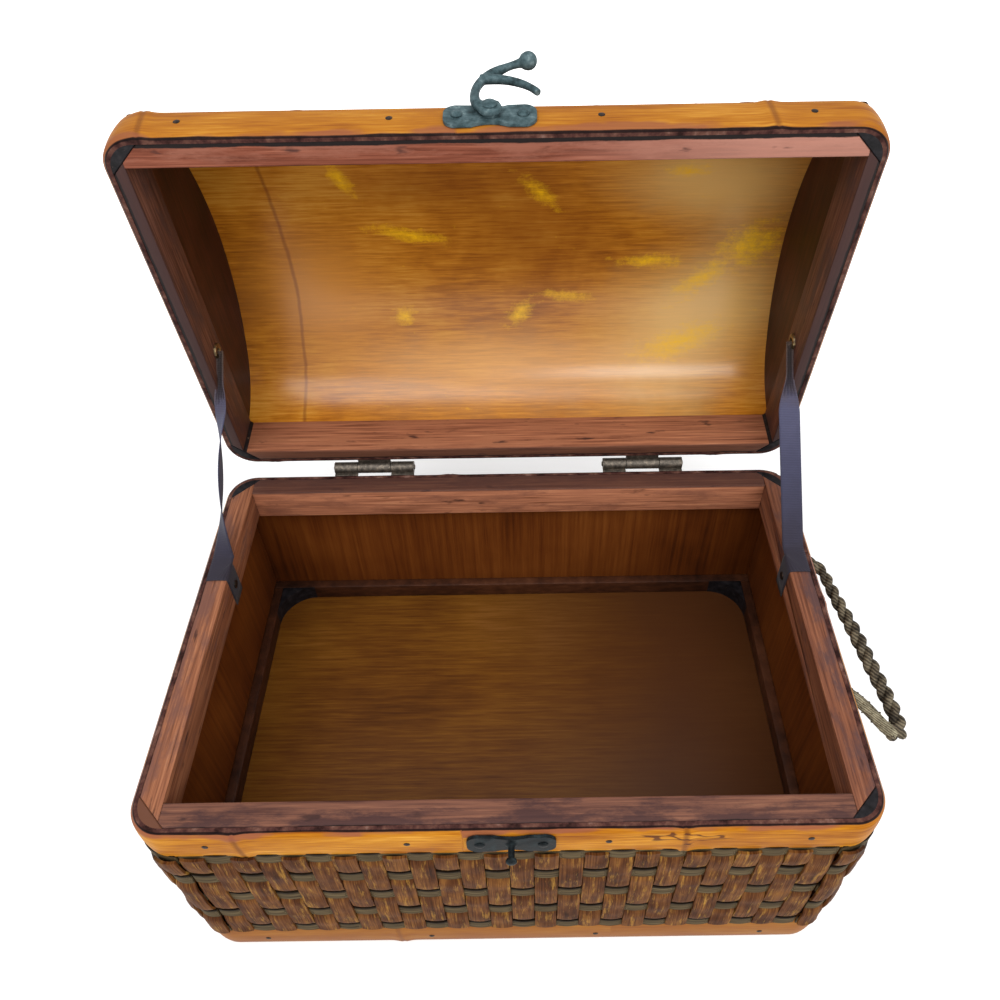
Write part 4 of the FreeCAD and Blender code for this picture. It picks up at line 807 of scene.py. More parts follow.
def nail_row(height, way):
    return [((share * nail_reach, way * half_depth, height), (0, way, 0)) for share in row_shares]


set_out("base_band_nail_heads", flush_nail, nail_iron,
        nail_row(base_height - top_nail_drop, -1) + nail_row(foot_nail_height, -1)
        + nail_row(foot_nail_height, 1),
        "base", "nail_steel", ["base_band_nails"], steps=12)

# Dome: one sheet of thin ply bent over the lid from front to back. Inside it is varnished golden
# brown with the grain running along the chest, rubbed through to raw yellow in places.
sheet_thickness, dome_mat_thickness = 0.0020, 0.0026
spring_height, dome_inset = 0.010, 0.0076
spring = lid_floor + spring_height
rise = 0.0535
shoulder_radius = 0.043
dome_half_span = half_depth - dome_inset
shoulder_y = dome_half_span - shoulder_radius
crown_radius = (shoulder_y ** 2 + rise ** 2 - shoulder_radius ** 2) / (2 * (rise - shoulder_radius))
lean = math.atan2(shoulder_y, crown_radius - rise)


def arch(grow, foot, steps=18):
    """Section of the closed dome as (y, z), from its back foot over the top to its front foot."""
    shoulder, crown = shoulder_radius + grow, crown_radius + grow
    start = math.asin((foot - spring) / shoulder)
    half = []
    for step in range(steps + 1):
        angle = start + (math.pi / 2 - lean - start) * step / steps
        half.append((shoulder_y + shoulder * math.cos(angle), spring + shoulder * math.sin(angle)))
    top = []
    centre_z = spring + rise - crown_radius
    for step in range(1, 2 * steps):
        angle = lean - lean * step / steps
        top.append((crown * math.sin(angle), centre_z + crown * math.cos(angle)))
    return half + top + [(-y, z) for y, z in reversed(half)]


def off_middle(tree, spot, place, turn, long, wide):
    """How far out a point lies in a flat ellipse: 0 in its middle and 1 on its edge."""
    squeezed = add(tree, "ShaderNodeMapping", {
        "Vector": spot, "Location": (*place, 0), "Rotation": (0, 0, turn), "Scale": (long, wide, 1)},
        vector_type="TEXTURE")
    return add(tree, "ShaderNodeVectorMath", {0: squeezed}, operation="LENGTH").outputs["Value"]


lid_ply, tree, shader = new_finish("varnished_lid_ply", Roughness=0.5, Specular_IOR_Level=0.08,
                                   Coat_Weight=0.75, Coat_Roughness=0.22)
spot = closed_spot(tree)
grain = drawn_out(tree, spot, (48, 850, 850), 6.0, 0.68)
cloud = add(tree, "ShaderNodeTexNoise", {"Vector": spot, "Scale": 17.0, "Detail": 4.0, "Roughness": 0.6})
varnish = stained(tree, grain, cloud,
                  [(0.36, "#7A420C"), (0.45, "#9C5C12"), (0.53, "#B8741C"), (0.64, "#CC9034")])
# Patches of stain and of painted light and shade: (x, y on the closed lid, turn, half length, half width,
# amount, tone).
flat_spot = add(tree, "ShaderNodeVectorMath", {0: spot, 1: (1, 1, 0)}, operation="MULTIPLY")
rub_noise = add(tree, "ShaderNodeTexNoise",
                {"Vector": spot, "Scale": 230.0, "Detail": 7.0, "Roughness": 0.85})
streaks = drawn_out(tree, spot, (70, 420, 420), 5.0, 0.7)
stain_and_painted_light = varnish
for x, y, turn, long, wide, amount, tint in (
    # Two pools of painted light on the right-hand half.
    (0.095, 0.045, -0.4, 0.070, 0.045, 0.85, "#EABC70"), (0.095, -0.030, 0.2, 0.060, 0.036, 0.9, "#E4B66C"),
    # A long band of painted lamp reflection along the back shoulder.
    (0.000, 0.066, 0.0, 0.125, 0.022, 0.55, "#F0B878"),
    # A pool of painted light on the left, then darker patches of stain and painted shade.
    (-0.090, 0.030, 0.3, 0.045, 0.045, 0.8, "#D08A34"), (0.012, 0.000, 0.4, 0.050, 0.042, 0.5, "#83450E"),
    (-0.035, -0.028, 0.0, 0.060, 0.022, 0.45, "#7A3E08"),
):
    gap = off_middle(tree, flat_spot, (x, y), turn, long, wide)
    gap = add(tree, "ShaderNodeMath", {0: cloud, 1: 0.8, 2: gap}, operation="MULTIPLY_ADD")
    share = add(tree, "ShaderNodeMapRange", {0: gap, 1: 1.5, 2: 0.4, 4: amount},
                interpolation_type="SMOOTHSTEP")
    stain_and_painted_light = add(tree, "ShaderNodeMix", {0: share, 6: stain_and_painted_light, 7: linear(tint)}, data_type="RGBA").outputs[2]
# Rubbed places, streaked along the grain: (x, y on the closed lid, turn, half length, half width).
rubbed = 0.0
for x, y, turn, long, wide in (
    (0.1170, 0.0085, -0.6, 0.017, 0.012), (0.0975, 0.0250, -0.66, 0.020, 0.0065),
    (0.0880, 0.0570, -0.30, 0.024, 0.007), (0.0072, 0.0422, -0.60, 0.010, 0.0050),
    (-0.0506, 0.0428, 0.00, 0.006, 0.0050), (0.0170, -0.0240, 0.90, 0.014, 0.0045),
    (-0.0703, -0.0330, 1.20, 0.012, 0.0040), (0.0700, 0.0160, 0.00, 0.016, 0.0040),
    (-0.0430, 0.0000, 0.20, 0.020, 0.0040),
    (0.0300, 0.0340, 0.15, 0.014, 0.0030), (0.0819, -0.0356, 0.00, 0.010, 0.0040),
):
    gap = off_middle(tree, flat_spot, (x, y), turn, long, wide)
    near = add(tree, "ShaderNodeMapRange", {0: gap, 1: 1.5, 2: 0.0, 4: 0.46})
    rubbed = add(tree, "ShaderNodeMath", {0: near, 1: rubbed}, operation="MAXIMUM")
worn_by = add(tree, "ShaderNodeMath", {0: streaks, 1: 0.6, 2: rubbed}, operation="MULTIPLY_ADD")
strength = add(tree, "ShaderNodeMath", {0: rub_noise, 1: 0.9, 2: worn_by}, operation="MULTIPLY_ADD")
bare = add(tree, "ShaderNodeMapRange", {0: strength, 1: 0.88, 2: 1.28, 4: 0.9})
worn = add(tree, "ShaderNodeMix", {0: bare, 6: stain_and_painted_light, 7: linear("#F4BE10")}, data_type="RGBA")
# A faint reddish crack runs across the sheet near its left end.
axes = add(tree, "ShaderNodeSeparateXYZ", {0: spot})
crack_gap = add(tree, "ShaderNodeMath", {0: cloud, 1: 0.006, 2: axes.outputs[0]}, operation="MULTIPLY_ADD")
crack_gap = add(tree, "ShaderNodeMath", {0: crack_gap, 1: 0.1005}, operation="ADD")
crack_gap = add(tree, "ShaderNodeMath", {0: crack_gap}, operation="ABSOLUTE")
crack = add(tree, "ShaderNodeMapRange", {0: crack_gap, 1: 0.0012, 2: 0.0003, 4: 0.5})
cracked = add(tree, "ShaderNodeMix", {0: crack, 6: worn.outputs[2], 7: linear("#6A2E14")}, data_type="RGBA")
dress(tree, shader, cracked.outputs[2], (grain, 0.3, 0.0002), (cloud, 0.25, 0.002))

sheet_foot = lid_floor + 0.020
sheet_half_length, bays = 0.1345, 24
inner, outer = arch(0.0, sheet_foot), arch(sheet_thickness, sheet_foot)
stations = [-sheet_half_length + 2 * sheet_half_length * place / bays for place in range(bays + 1)]
points, faces = [], []
for x in stations:
    points += [opened_lid @ Vector((x, y, z)) for y, z in inner + list(reversed(outer))]
around = 2 * len(inner)
for station in range(len(stations) - 1):
    for place in range(around):
        after = (place + 1) % around
        first, second = station * around, (station + 1) * around
        faces.append((first + place, first + after, second + after, second + place))
for first in (0, (len(stations) - 1) * around):
    for place in range(len(inner) - 1):
        quad = (first + place, first + place + 1, first + around - 2 - place, first + around - 1 - place)
        faces.append(quad if first == 0 else tuple(reversed(quad)))
mesh = bpy.data.meshes.new("bent_dome_sheet")
mesh.from_pydata(points, [], faces)
mesh.materials.append(lid_ply)
shape = bmesh.new()
shape.from_mesh(mesh)
bmesh.ops.recalc_face_normals(shape, faces=shape.faces)
shape.to_mesh(mesh)
shape.free()
settle(smooth(show("bent_dome_sheet", mesh)), "lid", "lid_ply", "dome_sheet")

# Lid ends: ply panels under the dome's edge, stained dark red brown with the grain upright. Inside
# the open lid they show as a dark crescent on either side of the golden sheet.
end_ply, tree, shader = new_finish("dark_end_ply", Roughness=0.5, Specular_IOR_Level=0.2)
spot = closed_spot(tree)
grain = drawn_out(tree, spot, (700, 24, 700), 5.0)
cloud = add(tree, "ShaderNodeTexNoise", {"Vector": spot, "Scale": 30.0, "Detail": 3.0})
dye = stained(tree, grain, cloud, [(0.36, "#220D07"), (0.5, "#35170E"), (0.64, "#4B2517")])
dress(tree, shader, dye.outputs[0], (grain, 0.2, 0.0002))
for side in ("left", "right"):
    eased("lid_end_" + side, "lid", "lid_ply", end_ply, 0.0003)

# Woven covers of the dome and its ends: the same rattan, bent over the ply. The ends are cut to the
# arch, and all three are rounded at the corners to follow the bamboo band.
lid_band_height, cover_gap = 0.0171, 0.0004
mat_foot = lid_floor + lid_band_height + cover_gap
cover_out = sheet_thickness + dome_mat_thickness


def prism(name, outline, low, high, turn=None):
    """A closed block over a flat outline, used to trim a mat."""
    shape = bmesh.new()
    base = shape.faces.new([shape.verts.new((x, y, low)) for x, y in outline])
    raised = bmesh.ops.extrude_face_region(shape, geom=[base])
    tops = [part for part in raised["geom"] if isinstance(part, bmesh.types.BMVert)]
    bmesh.ops.translate(shape, verts=tops, vec=(0, 0, high - low))
    if turn:
        bmesh.ops.transform(shape, matrix=turn, verts=shape.verts)
    bmesh.ops.recalc_face_normals(shape, faces=shape.faces)
    return show(name, mesh_of(shape, name))


def trimmed(piece, cutter):
    """Keep what lies inside the cutter. Cut faces take the rattan's slot, not the empty first one."""
    name = piece.name
    cut = piece.modifiers.new("trim", "BOOLEAN")
    cut.operation = "INTERSECT"
    cut.solver = "EXACT"
    cut.use_self = True
    cut.object = cutter
    mesh = applied(piece)
    for face in mesh.polygons:
        face.material_index = max(1, face.material_index)
    return show(name, mesh)


def fitted(mat):
    """Round a cover's corners like the band's, and press it down behind the band along the front."""
    round_x, round_y, radius = 0.1397, 0.0884, 0.0150
    press, press_height, press_reach = 0.0015, mat_foot + 0.014, 0.03
    for vertex in mat.data.vertices:
        x, y, z = vertex.co
        if y < 0:
            y += press * max(0.0, 1 - abs(z - press_height) / press_reach)
        from_x, from_y = abs(x) - round_x + radius, abs(y) - round_y + radius
        reach = math.hypot(from_x, from_y)
        if from_x > 0 and from_y > 0 and reach > radius:
            x = math.copysign(round_x - radius + from_x * radius / reach, x)
            y = math.copysign(round_y - radius + from_y * radius / reach, y)
        vertex.co = (x, y, z)


# The end covers stop 0.2 mm inside the dome's cover. The block's outline is turned upright, across x.
edge_line = arch(cover_out - 0.0002, mat_foot)
upright = Matrix(((0, 0, 1, 0), (1, 0, 0, 0), (0, 1, 0, 0), (0, 0, 0, 1)))
arching = prism("arching_block", edge_line, -0.2, 0.2, upright)

dome_line = [(0, y, z) for y, z in arch(cover_out, sheet_foot)]
thin_weave = dict(strip_thickness=0.0009, row_thickness=0.0006, bulge=0.0008, row_rise=0.0003, lift=-0.0012)
dome_mat = grown("woven_dome", line_mesh(dome_line), weaver, across_from=-lid_shell_x, across_to=lid_shell_x,
                 low=0.0, high=length_of(dome_line), first_row=0.006, along_guide=True, up=(1.0, 0.0, 0.0),
                 **thin_weave)
fitted(dome_mat)
dome_mat.data.transform(opened_lid)
settle(smooth(dome_mat, 60), "lid", "rattan_mat", "dome_mat")
end_reach, end_x = dome_half_span + cover_out, lid_shell_x + dome_mat_thickness
for side, way in (("right", 1), ("left", -1)):
    points = [(way * end_x, -way * end_reach, 0), (way * end_x, way * end_reach, 0)]
    end_mat = grown("woven_end_" + side, line_mesh(points), weaver, across_to=2 * end_reach, low=mat_foot,
                    high=spring + rise + 0.004, first_row=mat_foot + 0.003, **thin_weave)
    end_mat = trimmed(end_mat, arching)
    fitted(end_mat)
    end_mat.data.transform(opened_lid)
    settle(smooth(end_mat, 60), "lid", "rattan_mat", "end_mat_" + side)
bpy.data.objects.remove(arching)

# Lid frame: four pine strips round the lid's mouth with black corner blocks, and a bamboo band
# outside them in two pieces, nailed along the front.
lid_front_pine = rim_wood("lid_front_pine", "x", True, ("#52281C", "#743E2C", "#8A4E3A", "#A2664E"),
                          "#905A48", 0.0016, faded=0.55)
lid_back_pine = rim_wood("lid_back_pine", "x", True, red_brown, "#9A6448", 0.0008, 0.6)
lid_side_pine = rim_wood("lid_side_pine", "y", True, ("#341E18", "#54352A", "#6A4638", "#7E584A"),
                         "#443230", 0.0012, 0.9)
eased("lid_strip_front", "lid", "strip_wood", lid_front_pine)
eased("lid_strip_back", "lid", "strip_wood", lid_back_pine)
eased("lid_strip_left", "lid", "strip_wood", lid_side_pine)
eased("lid_strip_right", "lid", "strip_wood", lid_side_pine)
eased("lid_corner_fillers", "lid", "painted_corner", painted_corner, 0.0006)
for side, points in band_guides(lid_shell_x).items():
    cane = grown("lid_cane_" + side, line_mesh(points), bender, length=length_of(points),
                 height=lid_band_height, middle=lid_floor + lid_band_height / 2,
                 first_node=0.350 if side == "front" else 0.08, node_spacing=0.22, painted_edge=-1.0,
                 dullness=0.4)
    cane.data.transform(opened_lid)
    settle(smooth(cane), "lid", "bamboo_band", "lid_band_" + side)
lid_nail_height = 0.0085
set_out("lid_band_nail_heads", flush_nail, nail_iron, nail_row(lid_floor + lid_nail_height, -1), "lid",
        "nail_steel", ["lid_band_nails"], on_lid=True, steps=12)

# Butt hinges: pressed iron leaves with rolled knuckles, blackened and dull. The leaves are nailed
# flat on the back, so only their knuckles show from the front.
hinge_iron = spotted_metal("blackened_hinge_iron", 520.0,
                           [(0.3, "#3A3632"), (0.5, "#5C554D"), (0.62, "#756C61"), (0.75, "#8A7458")],
                           0.5, 0.85, 0.35, Detail=5.0, Roughness=0.7)
eased("hinge_base_leaves", "base", "hinge_metal", hinge_iron, 0.0002)
eased("hinge_lid_leaves", "lid", "hinge_metal", hinge_iron, 0.0002)
hinge_x, hinge_end = 0.068, 0.0206
pin_profile = [(0.0009, -hinge_end), (0.0013, -hinge_end + 0.0002), (0.0012, -hinge_end + 0.0006),
               (0.0012, hinge_end - 0.0006), (0.0013, hinge_end - 0.0002), (0.0009, hinge_end)]
pin_places = [((way * hinge_x, hinge_place.y, hinge_place.z), (1, 0, 0)) for way in (-1, 1)]
set_out("hinge_pin_rods", pin_profile, hinge_iron, pin_places, "base", "hinge_metal", ["hinge_pins"])

# Clasp: cast bronze plates, hook and stud, blackened. The hook swings on a rivet, has a claw for the
# stud and ends in a ball to push with. Pins hold the plates: low ones under the claw, round ones above.
def cast_bronze(name, tones):
    """Cast bronze under a dull patina: the pits of the casting are about 1 mm apart."""
    made, tree, shader = new_finish(name, Metallic=0.15, Specular_IOR_Level=0.05)
    spot = add(tree, "ShaderNodeTexCoord").outputs["Object"]
    bloom = add(tree, "ShaderNodeTexNoise",
                {"Vector": spot, "Scale": 260.0, "Detail": 6.0, "Roughness": 0.65})
    tone = add(tree, "ShaderNodeValToRGB", {0: bloom}, stops=list(zip((0.3, 0.46, 0.58, 0.74), tones)))
    pits = add(tree, "ShaderNodeTexNoise", {"Vector": spot, "Scale": 900.0, "Detail": 3.0})
    dull = add(tree, "ShaderNodeMapRange", {0: bloom, 1: 0.35, 2: 0.7, 3: 0.38, 4: 0.6})
    tree.links.new(dull.outputs[0], shader.inputs["Roughness"])
    dress(tree, shader, tone.outputs[0], (bloom, 0.4, 0.0004), (pits, 0.3, 0.0001))
    return made


# The lid's half of the clasp has a blue green bloom. The catch is the same bronze made nearly black: a darker
# patina, plus painted shade for its front face, which gets less light than the lid's plate.
bronze = cast_bronze("blackened_bronze", ("#242E30", "#3C4E52", "#526468", "#7E9092"))
shaded_catch_bronze = cast_bronze("black_catch_bronze", ("#0A0C0D", "#14181A", "#1E2426", "#384244"))
eased("catch_plate", "base", "dark_bronze", shaded_catch_bronze, 0.0004)
eased("hook_plate", "lid", "dark_bronze", bronze, 0.0004)

plate_thickness, plate_to_rim = 0.0012, 0.0078
plate_face = half_depth + plate_thickness
catch_x, catch_z = 0.0013, base_height - plate_to_rim
hook_x, hook_v = -0.0018, lid_floor + plate_to_rim
plate_pins, leaf_pins, leaf_pin_drop = 0.0116, 0.012, 0.009
dome_nail = [(0.0008, -0.008), (0.0008, -0.0001), (0.0019, -0.0001), (0.0021, 0.0002), (0.0020, 0.0006),
             (0.0015, 0.0011), (0.0008, 0.0014), (0.0002, 0.00145)]


def fitting_pins(x, z, spread, way):
    return [((x + side * spread, way * plate_face, z), (0, way, 0)) for side in (-1, 1)]


base_pins = fitting_pins(catch_x, catch_z, plate_pins, -1)
lid_pins = fitting_pins(hook_x, hook_v, plate_pins, -1)
for side in (-1, 1):
    base_pins += fitting_pins(side * hinge_x, hinge_place.z - leaf_pin_drop, leaf_pins, 1)
    lid_pins += fitting_pins(side * hinge_x, hinge_place.z + leaf_pin_drop, leaf_pins, 1)
low_nail = [(0.0008, -0.008), (0.0008, -0.0001), (0.0019, -0.0001), (0.0020, 0.0002), (0.0017, 0.0005),
            (0.0008, 0.0007), (0.0002, 0.00075)]
set_out("base_pin_heads", low_nail, shaded_catch_bronze, base_pins, "base", "nail_steel", ["base_hardware_nails"])
set_out("lid_pin_heads", dome_nail, bronze, lid_pins, "lid", "nail_steel", ["lid_hardware_nails"],
        on_lid=True)
stud_profile = [(0.0024, 0.0), (0.0014, 0.0006), (0.0012, 0.0012), (0.0012, 0.0048), (0.0018, 0.0050),
                (0.0021, 0.0056), (0.0020, 0.0063), (0.0013, 0.0068), (0.0003, 0.0069)]
set_out("catch_stud_knob", stud_profile, shaded_catch_bronze, [((catch_x, -plate_face, catch_z), (0, -1, 0))],
        "base", "dark_bronze", ["catch_stud"])
rivet_profile = [(0.0029, 0.0), (0.0029, 0.0010), (0.0027, 0.0012), (0.0015, 0.0012), (0.0015, 0.0036),
                 (0.0026, 0.0036), (0.0027, 0.0040), (0.0022, 0.0046), (0.0012, 0.0049), (0.0003, 0.0050)]
set_out("hook_rivet_head", rivet_profile, bronze, [((hook_x, -plate_face, hook_v), (0, -1, 0))], "lid",
        "dark_bronze", ["hook_rivet"], on_lid=True)


def hook_spot(x, v, out=0.0):
    """A point in the middle of the hook: x to the right, v away from the rim, out of the chest."""
    above_plate = 0.0024
    return Vector((hook_x + x, -(plate_face + above_plate + out), hook_v + v))


def smooth_line(points, steps=10, radii=None):
    """The smooth line through a spline's control points, as a mesh: a round bar where radii are given."""
    curve = bpy.data.curves.new("line", "CURVE")
    curve.dimensions = "3D"
    if radii:
        curve.bevel_depth = 1.0
        curve.bevel_resolution = 4
        curve.use_fill_caps = True
    line = curve.splines.new("NURBS")
    line.points.add(len(points) - 1)
    for place, point in enumerate(points):
        line.points[place].co = (*point, 1)
        line.points[place].radius = radii[place] if radii else 1.0
    line.order_u = 3
    line.use_endpoint_u = True
    line.resolution_u = steps
    holder = bpy.data.objects.new("line", curve)
    mesh = bpy.data.meshes.new_from_object(holder)
    bpy.data.objects.remove(holder)
    bpy.data.curves.remove(curve)
    return mesh


claw, claw_radius = [], 0.0194
for angle in (101, 86, 70, 54, 42, 34, 29):
    turn = math.radians(angle)
    claw.append(hook_spot(claw_radius * math.cos(turn), claw_radius * math.sin(turn)))
arm = [hook_spot(-0.0012, -0.0006), hook_spot(-0.0046, 0.0016), hook_spot(-0.0056, 0.0084),
       hook_spot(-0.0046, 0.0150), hook_spot(-0.0012, 0.0212), hook_spot(0.0028, 0.0250),
       hook_spot(0.0064, 0.0267, 0.0006), hook_spot(0.0098, 0.0273, 0.0014),
       hook_spot(0.0134, 0.0275, 0.0021)]
arm_radii = (0.0018, 0.0021, 0.0017, 0.0016, 0.0019, 0.0019, 0.0014, 0.0015, 0.0022)
claw_radii = (0.0019, 0.0018, 0.0016, 0.0015, 0.0013, 0.0014, 0.0013)
disc = turned("hook_disc", [(0.0036, -0.0012), (0.0043, -0.0008), (0.0043, 0.0007), (0.0038, 0.0012)], 9)
disc.transform(Matrix.Translation(hook_spot(0, 0)) @ Matrix.Rotation(math.pi / 2, 4, "X"))
ball = turned("hook_ball", [(0.0004, -0.0033), (0.0017, -0.0029), (0.0027, -0.0020), (0.0033, -0.0004),
                            (0.0033, 0.0008), (0.0027, 0.0021), (0.0016, 0.0030), (0.0004, 0.0034)])
ball_turn = Matrix.Rotation(math.radians(70), 4, "Y")
ball.transform(Matrix.Translation(hook_spot(0.0136, 0.0275, 0.0023)) @ ball_turn)
shape = bmesh.new()
for mesh in (smooth_line(arm, 12, arm_radii), smooth_line(claw, 12, claw_radii), disc, ball):
    shape.from_mesh(mesh)
bmesh.ops.transform(shape, matrix=opened_lid, verts=shape.verts)
hook = show("cast_hook", mesh_of(shape, "cast_hook"))
cast = hook.modifiers.new("cast", "REMESH")
cast.mode = "VOXEL"
cast.voxel_size = 0.00028
soften = hook.modifiers.new("soften", "SMOOTH")
soften.factor = 0.5
soften.iterations = 5
mesh = applied(hook)
mesh.materials.append(bronze)
settle(smooth(show("cast_hook", mesh), 80), "hook", "dark_bronze", "clasp_hook")

# Rope handles: two-strand twisted cord, grey brown with old dirt, thick and dark towards the front,
# its front leg whipped with thin twine. Each end is an eye that turns on an iron wire staple. They are
# bails fixed at both ends, so they are pieces that swing and not free cords.
bar_x, bar_z = 0.146, 0.100
rope_back_y, rope_front_y, rope_reach = 0.0510, -0.0216, 0.0280
route_shares = [
    (0.0, 1.0), (0.35, 1.003), (0.45, 0.787), (0.614, 0.594), (0.736, 0.421), (0.821, 0.249),
    (0.936, 0.084), (0.993, -0.054), (1.0, -0.178), (0.743, -0.209), (0.293, -0.028), (0.0, 0.0),
]


def rope_finish(name, tones, fineness):
    """Twisted jute, darkened by handling: fineness 260 lays the threads 1.4 mm apart, and 420 0.9 mm."""
    made, tree, shader = new_finish(name, Roughness=0.85, Specular_IOR_Level=0.2)
    spot = add(tree, "ShaderNodeTexCoord").outputs["Object"]
    dirt = add(tree, "ShaderNodeTexNoise", {"Vector": spot, "Scale": 160.0, "Detail": 3.0})
    threads = add(tree, "ShaderNodeTexWave", {
        "Vector": spot, "Scale": fineness, "Distortion": 3.0, "Detail": 2.0, "Detail Scale": 2.0},
        bands_direction="DIAGONAL").outputs["Fac"]
    weight = add(tree, "ShaderNodeMath", {0: threads, 1: 0.25, 2: -0.12}, operation="MULTIPLY_ADD")
    depth = add(tree, "ShaderNodeMath", {0: dirt, 1: weight}, operation="ADD")
    tone = add(tree, "ShaderNodeValToRGB", {0: depth}, stops=list(zip((0.3, 0.45, 0.58, 0.72), tones)))
    dress(tree, shader, tone.outputs[0], (threads, 0.5, 0.0004))
    return made


rope_jute = rope_finish("dirty_twisted_jute", ("#1E1A14", "#3A3329", "#564D3F", "#7A705C"), 260.0)
whip_twine = rope_finish("waxed_whipping_twine", ("#443E30", "#665E4C", "#847C66", "#A69E84"), 420.0)

twister, size, result = new_maker(
    "laid_rope", strands=2, winding_radius=0.0015, strand_radius=0.0019, lay=0.0135, start=0.0, end=1.0,
    thin_start=1.0, facets=10)
twister.interface.new_socket("fibre", in_out="INPUT", socket_type="NodeSocketMaterial")
size = twister.nodes["Group Input"].outputs
path = add(twister, "GeometryNodeMeshToCurve", {0: size["Geometry"]})
path = add(twister, "GeometryNodeTrimCurve", {0: path, "Start": size["start"], "End": size["end"]},
           mode="FACTOR")
path = add(twister, "GeometryNodeResampleCurve", {0: path, "Length": 0.0008}, mode="LENGTH")
gone = add(twister, "GeometryNodeSplineParameter")
copies = add(twister, "GeometryNodeMeshLine", {"Count": size["strands"], "Offset": (0, 0, 0)})
laid = add(twister, "GeometryNodeInstanceOnPoints", {"Points": copies, "Instance": path})
numbered = add(twister, "GeometryNodeStoreNamedAttribute", {
    "Geometry": laid, "Name": "strand", "Value": add(twister, "GeometryNodeInputIndex")},
    data_type="FLOAT", domain="INSTANCE")
laid = add(twister, "GeometryNodeRealizeInstances", {0: numbered})
strand = add(twister, "GeometryNodeInputNamedAttribute", {"Name": "strand"}, data_type="FLOAT")
turns = add(twister, "ShaderNodeMath", {0: gone.outputs["Length"], 1: size["lay"]}, operation="DIVIDE")
offset = add(twister, "ShaderNodeMath", {0: strand, 1: size["strands"]}, operation="DIVIDE")
turns = add(twister, "ShaderNodeMath", {0: turns, 1: offset}, operation="ADD")
angle = add(twister, "ShaderNodeMath", {0: turns, 1: 2 * math.pi}, operation="MULTIPLY")
thick = add(twister, "ShaderNodeMapRange",
            {0: gone.outputs["Factor"], 1: 0.0, 2: 0.45, 3: size["thin_start"], 4: 1.0})
wind = add(twister, "ShaderNodeMath", {0: size["winding_radius"], 1: thick}, operation="MULTIPLY")
normal = add(twister, "GeometryNodeInputNormal")
tangent = add(twister, "GeometryNodeInputTangent")
spun = add(twister, "ShaderNodeVectorRotate", {"Vector": normal, "Axis": tangent, "Angle": angle})
shift = add(twister, "ShaderNodeVectorMath", {0: spun, "Scale": wind}, operation="SCALE")
wound = add(twister, "GeometryNodeSetPosition", {"Geometry": laid, "Offset": shift})
girth = add(twister, "ShaderNodeMath", {0: size["strand_radius"], 1: thick}, operation="MULTIPLY")
section = add(twister, "GeometryNodeCurvePrimitiveCircle", {"Resolution": size["facets"], "Radius": 1.0})
girthed = add(twister, "GeometryNodeSetCurveRadius", {0: wound, "Radius": girth})
swept = add(twister, "GeometryNodeCurveToMesh", {
    "Curve": girthed, "Profile Curve": section, "Fill Caps": True, "Scale": girth})
swept = add(twister, "GeometryNodeRealizeInstances", {0: swept})
swept = add(twister, "GeometryNodeSetMaterial", {"Geometry": swept, "Material": size["fibre"]})
twister.links.new(swept.outputs[0], result["Geometry"])

# The right-hand rope leans out as in the photograph, and the left-hand one hangs down.
rope_ends = (rope_back_y, rope_front_y)
eye_half = 0.0027
for name, side, tilt in (("right", 1, 29.0), ("left", -1, 86.0)):
    out_x, out_z = math.cos(math.radians(tilt)), -math.sin(math.radians(tilt))
    route = []
    for reach_share, y_share in route_shares:
        reach = rope_reach * reach_share
        y = rope_front_y + (rope_back_y - rope_front_y) * y_share
        route.append((side * (bar_x + reach * out_x), y, bar_z + reach * out_z))
    twisted = grown("rope_twist_" + name, smooth_line(route), twister, strands=2, winding_radius=0.0016,
                    strand_radius=0.0020, lay=0.0135, end=0.80, thin_start=0.72, fibre=rope_jute)
    core = grown("rope_core_" + name, smooth_line(route), twister, strands=1, winding_radius=0.0,
                 strand_radius=0.0027, start=0.785, fibre=whip_twine)
    whipping = grown("rope_whipping_" + name, smooth_line(route), twister, strands=1, winding_radius=0.0027,
                     strand_radius=0.0006, lay=0.0014, start=0.79, facets=6, fibre=whip_twine)
    eyes = []
    for place, y in enumerate(rope_ends):
        turns = [(side * bar_x, y - eye_half, bar_z), (side * bar_x, y + eye_half, bar_z)]
        eyes.append(grown(f"rope_eye_{name}_{place}", smooth_line(turns), twister, strands=1, lay=0.0019,
                          winding_radius=0.0020, strand_radius=0.00105, facets=8, fibre=rope_jute))
    for piece in (twisted, core, whipping, *eyes):
        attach(smooth(piece, 60), name + "_handle")
    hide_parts("handle_" + name)

staple_wire = spotted_metal("rusty_staple_wire", 800.0,
                            [(0.3, "#2C2722"), (0.55, "#514840"), (0.75, "#7A563A")], 0.5, 0.8)
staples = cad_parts["handle_staples"]
staples.data.materials.clear()
staples.data.materials.append(staple_wire)

# Ribbon stays: 10 mm rayon ribbon, faded blue grey and brownish at the top, pulled tight from a brass
# eyelet in the lid down to the rim, folded there and tacked inside it. The left one has a twist.
ribbon_cloth, tree, shader = new_finish("faded_rayon_ribbon", Roughness=0.75, Specular_IOR_Level=0.2,
                                        Sheen_Weight=0.08)
cloth = add(tree, "ShaderNodeAttribute", attribute_name="ribbon").outputs["Vector"]
axes = add(tree, "ShaderNodeSeparateXYZ", {0: cloth})
